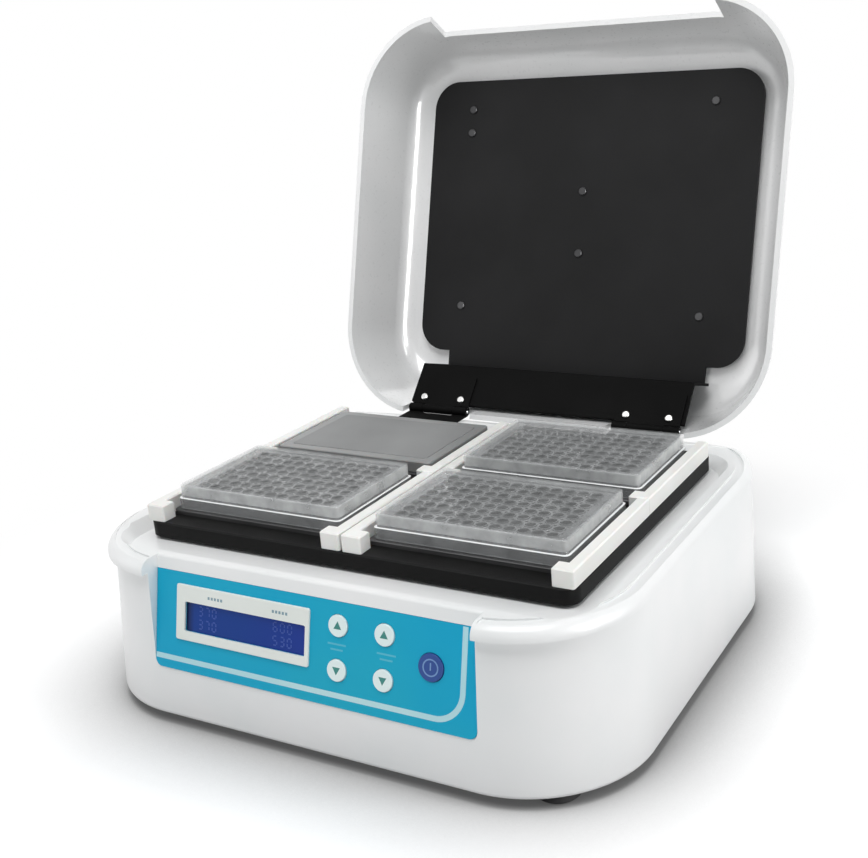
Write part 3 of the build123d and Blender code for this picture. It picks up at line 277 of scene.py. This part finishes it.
foot_rubber, tree, shader = finish("moulded_rubber", "#1b1b1c", 0.75, Specular_IOR_Level=0.35)
grain(tree, shader, 0.6, (0.65, 0.85), ("#171718", "#222223"), 0.03)
dress(["rubber_feet"], foot_rubber)

# ---- control panel ---------------------------------------------------------------------
# A plastic plate under a cyan polyester film with a fine matt emboss. The film's printed
# band runs along the foot and turns up at the right; pale bars mark the two key columns.

panel_lean = math.radians(13.7)
panel_foot = Vector((0, -0.2263, 0.0387))
panel_up = Vector((0, math.sin(panel_lean), math.cos(panel_lean)))
panel_out = Vector((0, -math.cos(panel_lean), math.sin(panel_lean)))


def on_panel(x, up, out=0.0):
    """A point on the panel's face, from millimetres across, up and out."""
    return panel_foot + Vector((x, 0, 0)) / 1000 + panel_up * up / 1000 + panel_out * out / 1000


def new_piece(name, mesh, made, body):
    """A piece that rides on one body, with one finish."""
    piece = bpy.data.objects.new(name, mesh)
    mesh.materials.append(made)
    bpy.context.scene.collection.objects.link(piece)
    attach(piece, body)
    return piece


def printed(name, shapes, made, body, foot, top):
    """Printed marks on the panel: outlines in panel millimetres, between two heights off its face."""
    mesh = bpy.data.meshes.new(name)
    build = bmesh.new()
    for shape in shapes:
        low = [build.verts.new(on_panel(x, up, foot)) for x, up in shape]
        high = [build.verts.new(on_panel(x, up, top)) for x, up in shape]
        build.faces.new(high)
        for i in range(len(shape)):
            j = (i + 1) % len(shape)
            build.faces.new((low[i], low[j], high[j], high[i]))
    bmesh.ops.recalc_face_normals(build, faces=build.faces)
    build.to_mesh(mesh)
    build.free()
    return new_piece(name, mesh, made, body)


def oblong(left, foot, right_end, head):
    """The outline of one printed bar."""
    return [(left, foot), (right_end, foot), (right_end, head), (left, head)]


def ribbon(line, width):
    """Short four-cornered runs that follow a line in panel millimetres."""
    sides = []
    for i, point in enumerate(line):
        before, after = Vector(line[max(i - 1, 0)]), Vector(line[min(i + 1, len(line) - 1)])
        along = (after - before).normalized()
        off = Vector((-along.y, along.x)) * width / 2
        sides.append((Vector(point) + off, Vector(point) - off))
    return [[tuple(a), tuple(b), tuple(d), tuple(c)] for (a, b), (c, d) in zip(sides, sides[1:])]


film, tree, shader = finish("cyan_polyester_film", "#12a5c9", 0.38, Specular_IOR_Level=0.18)
grain(tree, shader, 0.7, (0.32, 0.48), ("#0da3ca", "#19a8c7"), 0.01)
dress(["control_panel"], film)

band_left, band_right, band_foot, band_top = -112.7, 103.4, 6.9, 60.6
band_turn, band_width = 17.0, 3.3
band = [(x, band_foot) for x in (band_left, -60, 0, 50, band_right - band_turn)]
for step in range(1, 13):
    a = math.radians(7.5 * step)
    band.append((
        band_right - band_turn + band_turn * math.sin(a), band_foot + band_turn - band_turn * math.cos(a)
    ))
band += [(band_right, 42.0), (band_right, band_top)]
pale_ink, tree, shader = finish("pale_ink", "#b4dde4", 0.4)
grain(tree, shader, 0.7, (0.36, 0.48), ("#aedae3", "#bce1e6"), 0.004)
printed("panel_band", ribbon(band, band_width), pale_ink, "base", -0.05, 0.06)

bars_up, bar_half_high = 34.6, 0.5
bars = []
for x in (21.3, 54.4):
    for row, half_wide in ((1.9, 6.2), (-1.2, 4.2)):
        up = bars_up + row
        bars.append(oblong(x - half_wide, up - bar_half_high, x + half_wide, up + bar_half_high))
faint_ink, tree, shader = finish("faint_ink", "#49b4cd", 0.4)
grain(tree, shader, 0.7, (0.36, 0.48), ("#43b1cc", "#52b8ce"), 0.004)
printed("key_column_bars", bars, faint_ink, "base", -0.05, 0.05)

# ---- display window --------------------------------------------------------------------
# A backlit liquid crystal cell behind a clear window: dark blue, paler to the right, with
# the bezel's shadow along its left edge. Its gloss is broken by a fine haze.

shadow_start, shadow_end = -0.0895, -0.0835
paler_start, paler_end = -0.05, 0.0
crystal, tree, shader = finish(
    "backlit_window", "#0c3480", 0.16, Specular_IOR_Level=0.12, Coat_Weight=0.15, Coat_Roughness=0.05
)
place = add(tree, "ShaderNodeTexCoord")
across = add(tree, "ShaderNodeSeparateXYZ", {}, {0: place.outputs["Object"]})
shadow = add(
    tree, "ShaderNodeMapRange", {"From Min": shadow_start, "From Max": shadow_end},
    {"Value": across.outputs["X"]},
)
paler = add(
    tree, "ShaderNodeMapRange", {"From Min": paler_start, "From Max": paler_end},
    {"Value": across.outputs["X"]},
)
blue = add(
    tree, "ShaderNodeMix", {"data_type": "RGBA", 6: linear("#07347f"), 7: linear("#102f84")},
    {"Factor": paler.outputs[0]},
)
dark = add(
    tree, "ShaderNodeMix", {"data_type": "RGBA", 6: linear("#06122e")},
    {"Factor": shadow.outputs[0], 7: blue.outputs[2]},
)
mottle = add(tree, "ShaderNodeTexNoise", {"Scale": 900.0}, {"Vector": place.outputs["Object"]})
haze = add(tree, "ShaderNodeMapRange", {"To Min": 0.12, "To Max": 0.22}, {"Value": mottle.outputs[0]})
tree.links.new(haze.outputs[0], shader.inputs["Roughness"])
tree.links.new(dark.outputs[2], shader.inputs["Base Color"])
tree.links.new(dark.outputs[2], shader.inputs["Emission Color"])
shader.inputs["Emission Strength"].default_value = 0.15
dress(["display_window"], crystal)

# ---- display figures -------------------------------------------------------------------
# Liquid crystal bars just under the window's face: two rows of figures at each end. Lit
# bars are only a little paler than the cell round them.

figure_bars = {"0": "abcdef", "3": "abcdg", "5": "acdfg", "6": "acdefg", "7": "abc"}
figure_high, figure_pitch = 5.4, 5.2
figure_wide, bar_thick = figure_high * 0.52, figure_high * 0.15
bar_gap = bar_thick * 0.6
upper_row, lower_row = 36.3, 28.2
left_figures, right_figures = -80.0, -24.0


def figure(code, x, up):
    """The lit bars of one seven-bar figure with its lower left corner at (x, up)."""
    middle = up + figure_high / 2
    level = {"a": up + figure_high, "g": middle, "d": up}
    half = bar_thick / 2
    lit_bars = []
    for bar in figure_bars[code]:
        if bar in level:
            y = level[bar]
            lit_bars.append(oblong(x + bar_gap, y - half, x + figure_wide - bar_gap, y + half))
        else:
            side = x if bar in "ef" else x + figure_wide
            foot, head = (middle, up + figure_high) if bar in "bf" else (up, middle)
            lit_bars.append(oblong(side - half, foot + bar_gap, side + half, head - bar_gap))
    return lit_bars


bars = []
for text, x, up in (
    ("370", left_figures, upper_row), ("370", left_figures, lower_row),
    ("600", right_figures, upper_row), ("530", right_figures, lower_row),
):
    for i, code in enumerate(text):
        bars += figure(code, x + figure_pitch * i, up)
lit, tree, shader = finish("lit_crystal", "#3c55a4", 0.3, Specular_IOR_Level=0.2)
grain(tree, shader, 0.8, (0.25, 0.35), ("#344e9c", "#4660ae"), 0.002)
printed("display_figures", bars, lit, "base", -0.7, -0.52)

# ---- display bezel ---------------------------------------------------------------------
# Off-white ABS moulding, set into the panel, with a faint satin grain. Two short rows
# of grey printed marks stand above the window.

moulded_white, tree, shader = finish("moulded_abs_white", "#e4e9e4", 0.42)
grain(tree, shader, 0.5, (0.38, 0.5), ("#e1e6e1", "#e8ece8"), 0.01)
dress(["display_bezel"], moulded_white)

mark_foot, mark_head, mark_wide, mark_pitch = 47.6, 49.3, 1.5, 2.4
marks = []
for start in (-72.0, -24.0):
    for i in range(5):
        x = start + mark_pitch * i
        marks.append(oblong(x, mark_foot, x + mark_wide, mark_head))
grey_ink, tree, shader = finish("grey_ink", "#7d9aa6", 0.5)
grain(tree, shader, 0.8, (0.45, 0.55), ("#7896a3", "#86a0aa"), 0.002)
printed("bezel_marks", marks, grey_ink, "base", 1.0, 1.23)

# ---- keys ------------------------------------------------------------------------------
# Moulded silicone caps with a slightly crowned, dull face: white with a printed triangle
# for up and down, dark blue with a ring and bar for start and stop.

cap_white, tree, shader = finish("white_silicone", "#dff0f0", 0.45)
grain(tree, shader, 0.4, (0.4, 0.52), ("#dbeeef", "#e5f3f2"), 0.01)
dress(["key_left_up", "key_left_down", "key_right_up", "key_right_down"], cap_white)
cap_blue, tree, shader = finish("blue_silicone", "#18438c", 0.42)
grain(tree, shader, 0.4, (0.38, 0.5), ("#153f87", "#1d4994"), 0.01)
dress(["key_start_stop"], cap_blue)

columns = {"left": 22.0, "right": 53.0}
rows = {"up": (47.4, 1), "down": (21.6, -1)}
green_ink, tree, shader = finish("green_ink", "#2f7f78", 0.45)
grain(tree, shader, 0.4, (0.4, 0.52), ("#2b7a74", "#36867e"), 0.002)
for row, (up, way) in rows.items():
    for column, x in columns.items():
        key = f"key_{column}_{row}"
        triangle = [(x - 2.6, up - 1.9 * way), (x + 2.6, up - 1.9 * way), (x, up + 2.7 * way)]
        printed(key + "_triangle", [triangle], green_ink, key + "_cap", 0.9, 1.05)

start_x, start_up, ring_radius, ring_width = 83.3, 34.7, 4.6, 0.8
ring = [
    (start_x + ring_radius * math.cos(math.radians(a)), start_up + ring_radius * math.sin(math.radians(a)))
    for a in range(0, 361, 15)
]
sign = ribbon(ring, ring_width) + [oblong(start_x - 0.4, start_up - 1.5, start_x + 0.4, start_up + 2.7)]
soft_ink, tree, shader = finish("soft_blue_ink", "#6f93c4", 0.45)
grain(tree, shader, 0.4, (0.4, 0.52), ("#6a8ec0", "#7699c8"), 0.002)
printed("key_start_stop_sign", sign, soft_ink, "key_start_stop_cap", 0.9, 1.04)

# ---- boards and power supply -----------------------------------------------------------
# Glass-fibre boards under green solder mask, screwed to stand-offs. The copper tracks
# under the mask show as a fine raised grid, drawn coarser than real tracks.

mask, tree, shader = finish("green_solder_mask", "#1f5a35", 0.35)
place = add(tree, "ShaderNodeTexCoord")
tracks = add(
    tree, "ShaderNodeTexBrick",
    {
        "Scale": 90.0, "Mortar Size": 0.03,
        "Color1": linear("#1b5231"), "Color2": linear("#23623b"), "Mortar": linear("#3f8a4f"),
    },
    {"Vector": place.outputs["Object"]},
)
tree.links.new(tracks.outputs[0], shader.inputs["Base Color"])
raised = add(
    tree, "ShaderNodeBump", {"Strength": 0.4, "Distance": 0.00005}, {"Height": tracks.outputs["Fac"]}
)
tree.links.new(raised.outputs[0], shader.inputs["Normal"])
dress(["control_board", "display_module", "power_supply"], mask)

# ---- drive frame and pulley ------------------------------------------------------------
# Sand-cast aluminium, bored and turned where it fits. The sand leaves a dull, pebbled
# grey skin.

cast, tree, shader = finish("cast_aluminium", "#b4b6b8", 0.5, 1.0)
grain(tree, shader, 1.2, (0.42, 0.62), ("#a9abad", "#bec0c2"), 0.06)
dress(["drive_frame", "drive_pulley"], cast)

# ---- shafts, cranks, bearings and hinge pins -------------------------------------------
# Steel turned and ground to size and pressed in. Grinding leaves a bright face with fine
# lines round it.

ground, tree, shader = finish("ground_steel", "#c4c5c7", 0.22, 1.0)
grain(tree, shader, 3.0, (0.16, 0.3), ("#bcbdc0", "#cbccce"), 0.002, (1, 1, 40))
dress(["eccentric_shaft", "frame_bearings", "platform_bearings", "motor_rotor", "hinge_pins"], ground)
dress([f"idler_crank_{i}" for i in range(1, 5)], ground)

# ---- drive motor and belt --------------------------------------------------------------
# The motor's pressed steel can has a smooth black stoved enamel, and is bolted to the
# frame. The belt is plain black rubber.

motor_enamel, tree, shader = finish("black_motor_enamel", "#1c1d1f", 0.35)
grain(tree, shader, 1.5, (0.3, 0.42), ("#191a1c", "#212224"), 0.01)
dress(["drive_motor"], motor_enamel)
dress(["drive_belt"], foot_rubber)

# ---- shaking platform ------------------------------------------------------------------
# A machined aluminium plate on the eccentric and the four cranks, bead blasted and black
# anodised: deep matt black with a very fine grain.

anodised, tree, shader = finish("black_anodised_aluminium", "#080808", 0.5, Specular_IOR_Level=0.14)
grain(tree, shader, 0.35, (0.44, 0.58), ("#060606", "#0b0b0b"), 0.01)
dress(["shaking_platform"], anodised)

# ---- heating blocks --------------------------------------------------------------------
# Four milled aluminium blocks, anodised dark grey and screwed to the platform. Tool marks
# run along their length.

block_grey, tree, shader = finish("grey_anodised_aluminium", "#4a4a4b", 0.4, 0.6)
grain(tree, shader, 1.6, (0.32, 0.5), ("#414142", "#565657"), 0.008, (0.05, 1, 1))
dress(["heating_blocks"], block_grey)

# ---- rails -----------------------------------------------------------------------------
# White acetal rails, milled from bar and screwed down beside the blocks. The plastic is
# slightly waxy, with faint cutter lines along it.

acetal, tree, shader = finish(
    "milled_acetal", "#f0f0ec", 0.38, Subsurface_Weight=0.1, Subsurface_Scale=0.002
)
grain(tree, shader, 0.9, (0.33, 0.45), ("#ecece8", "#f4f4f1"), 0.01, (1, 0.1, 1))
dress([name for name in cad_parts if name.startswith("rail_")], acetal)

# ---- microplates -----------------------------------------------------------------------
# Injection-moulded clear polystyrene, set between the rails: a stepped skirt and a deck
# with ninety-six round wells. Thin clear walls grey what lies behind them. The wells' walls
# and undersides take a darker copy of the clear plastic, painted shade inside the wells, and
# the flange's shoulder is painted near-white, a painted highlight for light coming out along it.


def thin_clear(name, colour, flat, edge, roughness):
    """Thin clear plastic: how much a flat face hides, how much an edge or a side wall hides."""
    made, tree, shader = finish(name, colour, roughness, IOR=1.55)
    place = add(tree, "ShaderNodeNewGeometry")
    tilt = add(tree, "ShaderNodeSeparateXYZ", {}, {0: place.outputs["True Normal"]})
    level = add(tree, "ShaderNodeMath", {"operation": "ABSOLUTE"}, {0: tilt.outputs["Z"]})
    body = add(
        tree, "ShaderNodeMapRange", {"From Min": 0.2, "From Max": 0.97, "To Min": edge, "To Max": flat},
        {"Value": level.outputs[0]},
    )
    coords = add(tree, "ShaderNodeTexCoord")
    flow = add(
        tree, "ShaderNodeTexNoise", {"Scale": 70.0, "Detail": 3.0}, {"Vector": coords.outputs["Object"]}
    )
    cloud = add(
        tree, "ShaderNodeMapRange", {"From Min": 0.3, "From Max": 0.7, "To Min": 0.7, "To Max": 1.3},
        {"Value": flow.outputs[0]},
    )
    hide = add(
        tree, "ShaderNodeMath", {"operation": "MULTIPLY", "use_clamp": True},
        {0: body.outputs[0], 1: cloud.outputs[0]},
    )
    tree.links.new(hide.outputs[0], shader.inputs["Alpha"])
    wave = add(tree, "ShaderNodeBump", {"Strength": 0.3, "Distance": 0.0002}, {"Height": flow.outputs[0]})
    tree.links.new(wave.outputs[0], shader.inputs["Normal"])
    return made


clear = thin_clear("clear_polystyrene", "#b6b8b9", 0.50, 0.32, 0.12)
# A darker copy of the clear plastic for the wells' walls and undersides: painted shade in the wells.
shaded_well = thin_clear("painted_shade_well_wall", "#a4a6a7", 0.10, 0.16, 0.12)
# Near-white for the flange's shoulder: a painted highlight where light comes out along the edge.
lit_edge, tree, shader = finish("painted_edge_highlight", "#f4f6f6", 0.15)
grain(tree, shader, 3.0, (0.1, 0.2), ("#f0f2f2", "#fafbfb"), 0.002)
in_clear, in_lit_edge, in_shaded_well = 0, 1, 2

well_rows, well_columns, well_pitch, well_sides = 8, 12, 0.009, 20
collar_radius, collar_top_radius = 0.00395, 0.00390
mouth_radius, bottom_radius, outer_radius = 0.00345, 0.00320, 0.00415
deck_drop, collar_drop = 0.0012, 0.0003
well_floor, well_underside = 0.0032, 0.0022
skirt_wall, skirt_step = 0.0013, 0.006
outer_corner, inner_corner, field_corner = 0.0032, 0.0026, 0.0001


def well_ring(build, x, y, radius, z):
    """A ring of vertices round one well."""
    made = []
    for k in range(well_sides):
        a = 2 * math.pi * k / well_sides
        made.append(build.verts.new((x + radius * math.cos(a), y + radius * math.sin(a), z)))
    return made


def oblong_ring(build, half_x, half_y, corner, z, middle):
    """A ring of vertices round a rounded rectangle."""
    made = []
    for quarter, (sx, sy) in enumerate(((1, 1), (-1, 1), (-1, -1), (1, -1))):
        for step in range(5):
            a = math.radians(90 * quarter + 22.5 * step)
            made.append(build.verts.new((
                middle[0] + sx * (half_x - corner) + corner * math.cos(a),
                middle[1] + sy * (half_y - corner) + corner * math.sin(a), z,
            )))
    return made


def join(build, lower, upper, look=in_clear):
    """A wall between two rings, in one of the plate's looks."""
    for i in range(len(lower)):
        j = (i + 1) % len(lower)
        build.faces.new((lower[i], lower[j], upper[j], upper[i])).material_index = look


def skirt_and_flange(build, low, high, middle):
    """The outer wall with its flange, and the inside of the skirt. Gives the wall's last ring."""
    half_x, half_y = (high.x - low.x) / 2, (high.y - low.y) / 2
    profile = [
        (0, low.z), (0, low.z + 0.0068), (0.0003, low.z + 0.0070), (0.0012, low.z + 0.0071),
        (0.0015, low.z + 0.0083), (0.0026, low.z + 0.0084), (0.0029, high.z - 0.0002), (0.0033, high.z),
        (0.0045, high.z), (0.0047, high.z - deck_drop),
    ]
    outer = [
        oblong_ring(build, half_x - inset, half_y - inset, outer_corner, z, middle) for inset, z in profile
    ]
    shoulder = (1, 2)
    for step, (a, b) in enumerate(zip(outer, outer[1:])):
        join(build, a, b, in_lit_edge if step in shoulder else in_clear)
    inner = [
        oblong_ring(build, half_x - inset, half_y - inset, inner_corner, z, middle)
        for inset, z in ((skirt_wall, low.z), (skirt_wall, low.z + skirt_step), (0.0042, high.z - 0.0030))
    ]
    join(build, inner[0], outer[0])
    join(build, inner[1], inner[0])
    join(build, inner[2], inner[1])
    return outer[-1]


def well(build, x, y, low, high):
    """One well: its raised collar, its inside, its outside below the deck, and its square of deck."""
    deck = high.z - deck_drop
    mouth = high.z - collar_drop
    collar, collar_top, lip, floor = (
        well_ring(build, x, y, radius, z)
        for radius, z in (
            (collar_radius, deck), (collar_top_radius, mouth), (mouth_radius, mouth),
            (bottom_radius, low.z + well_floor),
        )
    )
    join(build, collar, collar_top)
    join(build, collar_top, lip)
    join(build, lip, floor, in_shaded_well)
    build.faces.new(floor).material_index = in_shaded_well
    underside = well_ring(build, x, y, outer_radius, low.z + well_underside)
    join(build, underside, collar, in_shaded_well)
    build.faces.new(underside[::-1]).material_index = in_shaded_well
    square = []
    for k in range(well_sides):
        a = 2 * math.pi * k / well_sides
        reach = well_pitch / 2 / max(abs(math.cos(a)), abs(math.sin(a)))
        square.append(build.verts.new((x + reach * math.cos(a), y + reach * math.sin(a), deck)))
    join(build, collar, square)


for number in (1, 2, 4):
    low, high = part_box(f"microplate_{number}")
    middle = ((low.x + high.x) / 2, (low.y + high.y) / 2)
    build = bmesh.new()
    wall_end = skirt_and_flange(build, low, high, middle)
    for row in range(well_rows):
        for column in range(well_columns):
            well(
                build, middle[0] + (column - (well_columns - 1) / 2) * well_pitch,
                middle[1] + (row - (well_rows - 1) / 2) * well_pitch, low, high,
            )
    field = oblong_ring(
        build, well_columns * well_pitch / 2, well_rows * well_pitch / 2, field_corner,
        high.z - deck_drop, middle,
    )
    join(build, field, wall_end)
    bmesh.ops.recalc_face_normals(build, faces=build.faces)
    mesh = bpy.data.meshes.new(f"microplate_{number}_moulding")
    build.to_mesh(mesh)
    build.free()
    moulding = new_piece(f"microplate_{number}_moulding", mesh, clear, f"plate_{number}")
    mesh.shade_smooth()
    mesh.materials.append(lit_edge)
    mesh.materials.append(shaded_well)
    soften(moulding, 35)
    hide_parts(f"microplate_{number}")

# ---- plate covers ----------------------------------------------------------------------
# Loose clear polystyrene covers with a turned-down rim, laid over three of the plates.
# Nearly invisible from above; the rim shows as a pale clear band.

clear_cover = thin_clear("clear_cover", "#f0f2f2", 0.08, 0.36, 0.06)
dress(["plate_cover_1", "plate_cover_2", "plate_cover_4"], clear_cover)

# ---- shallow plate and its mat ---------------------------------------------------------
# The plate at the rear left: a shallow one in natural polypropylene, cloudy and slightly
# waxy, closed by a pressed-in mat of dull grey silicone.

natural, tree, shader = finish(
    "natural_polypropylene", "#8d8e8e", 0.35, Subsurface_Weight=0.15, Subsurface_Scale=0.002
)
grain(tree, shader, 1.2, (0.3, 0.42), ("#868787", "#959696"), 0.01)
dress(["microplate_3"], natural)
silicone, tree, shader = finish("grey_silicone_mat", "#858686", 0.55)
grain(tree, shader, 0.8, (0.5, 0.62), ("#7e7f7f", "#8d8e8e"), 0.02)
dress(["plate_cover_3"], silicone)

# ---- lid shell -------------------------------------------------------------------------
# Vacuum-formed ABS in the housing's colour, trimmed at its rim and screwed to the moving
# hinge leaves. Forming leaves a smooth, glossy skin that catches long highlights.

formed, tree, shader = finish(
    "formed_abs_white", "#e9eaea", 0.30, Coat_Weight=1.0, Coat_Roughness=0.12, Coat_IOR=1.85
)
grain(tree, shader, 2.5, (0.26, 0.36), ("#e6e7e7", "#ececec"), 0.01)
dress(["lid_shell"], formed)

# ---- lid insulation --------------------------------------------------------------------
# A pad of closed-cell foam, cut from sheet and held between the shell and the inner
# plate: dull grey and finely pitted.

foam, tree, shader = finish("closed_cell_foam", "#6a6a6a", 0.9)
grain(tree, shader, 1.0, (0.8, 0.95), ("#606060", "#747474"), 0.1)
dress(["lid_insulation"], foam)

# ---- lid inner plate -------------------------------------------------------------------
# Steel sheet, cut and notched to fit the bracket and held to the shell by seven screws.
# Its black powder coat has a slight orange peel, which gives a soft sheen.

powder, tree, shader = finish("black_powder_coat", "#111112", 0.5, Specular_IOR_Level=0.2)
grain(tree, shader, 0.8, (0.45, 0.6), ("#0d0d0e", "#161617"), 0.03)
dress(["lid_inner_plate"], powder)

# ---- hinge -----------------------------------------------------------------------------
# A bent steel bracket and two pairs of folded leaves, sprayed a deeper, matt black and
# screwed to the lid and the top shell.

hinge_paint, tree, shader = finish("matt_black_paint", "#0a0a0a", 0.6, Specular_IOR_Level=0.05)
grain(tree, shader, 0.5, (0.55, 0.68), ("#080808", "#0e0e0e"), 0.02)
dress(["hinge_bracket", "hinge_fixed_leaves", "hinge_moving_leaves"], hinge_paint)

# ---- screws ----------------------------------------------------------------------------
# Small zinc-plated screws: the seven in the inner plate have gone dull, and the hinge's
# are bright.

dull_zinc, tree, shader = finish("dulled_screws", "#4c4c4d", 0.4, 1.0)
grain(tree, shader, 0.6, (0.35, 0.5), ("#454546", "#555556"), 0.01)
dress(["lid_plate_screws"], dull_zinc)
bright_zinc, tree, shader = finish("bright_screws", "#dededc", 0.25, 1.0)
grain(tree, shader, 0.6, (0.2, 0.32), ("#d6d6d4", "#e6e6e4"), 0.004)
dress(["hinge_screws"], bright_zinc)

# ---- rear wall parts -------------------------------------------------------------------
# Mains inlet, switch frame and fan in moulded black nylon, snapped or screwed into the
# rear wall: dull, with a fine moulded grain. The rocker is polished by use.

nylon, tree, shader = finish("black_nylon", "#19191a", 0.5)
grain(tree, shader, 0.5, (0.44, 0.6), ("#161617", "#1f1f20"), 0.02)
dress(["power_inlet", "switch_frame", "fan_frame", "fan_rotor"], nylon)
rocker_plastic, tree, shader = finish("polished_rocker", "#151516", 0.25)
grain(tree, shader, 1.0, (0.2, 0.3), ("#131314", "#1a1a1b"), 0.004)
dress(["switch_rocker"], rocker_plastic)
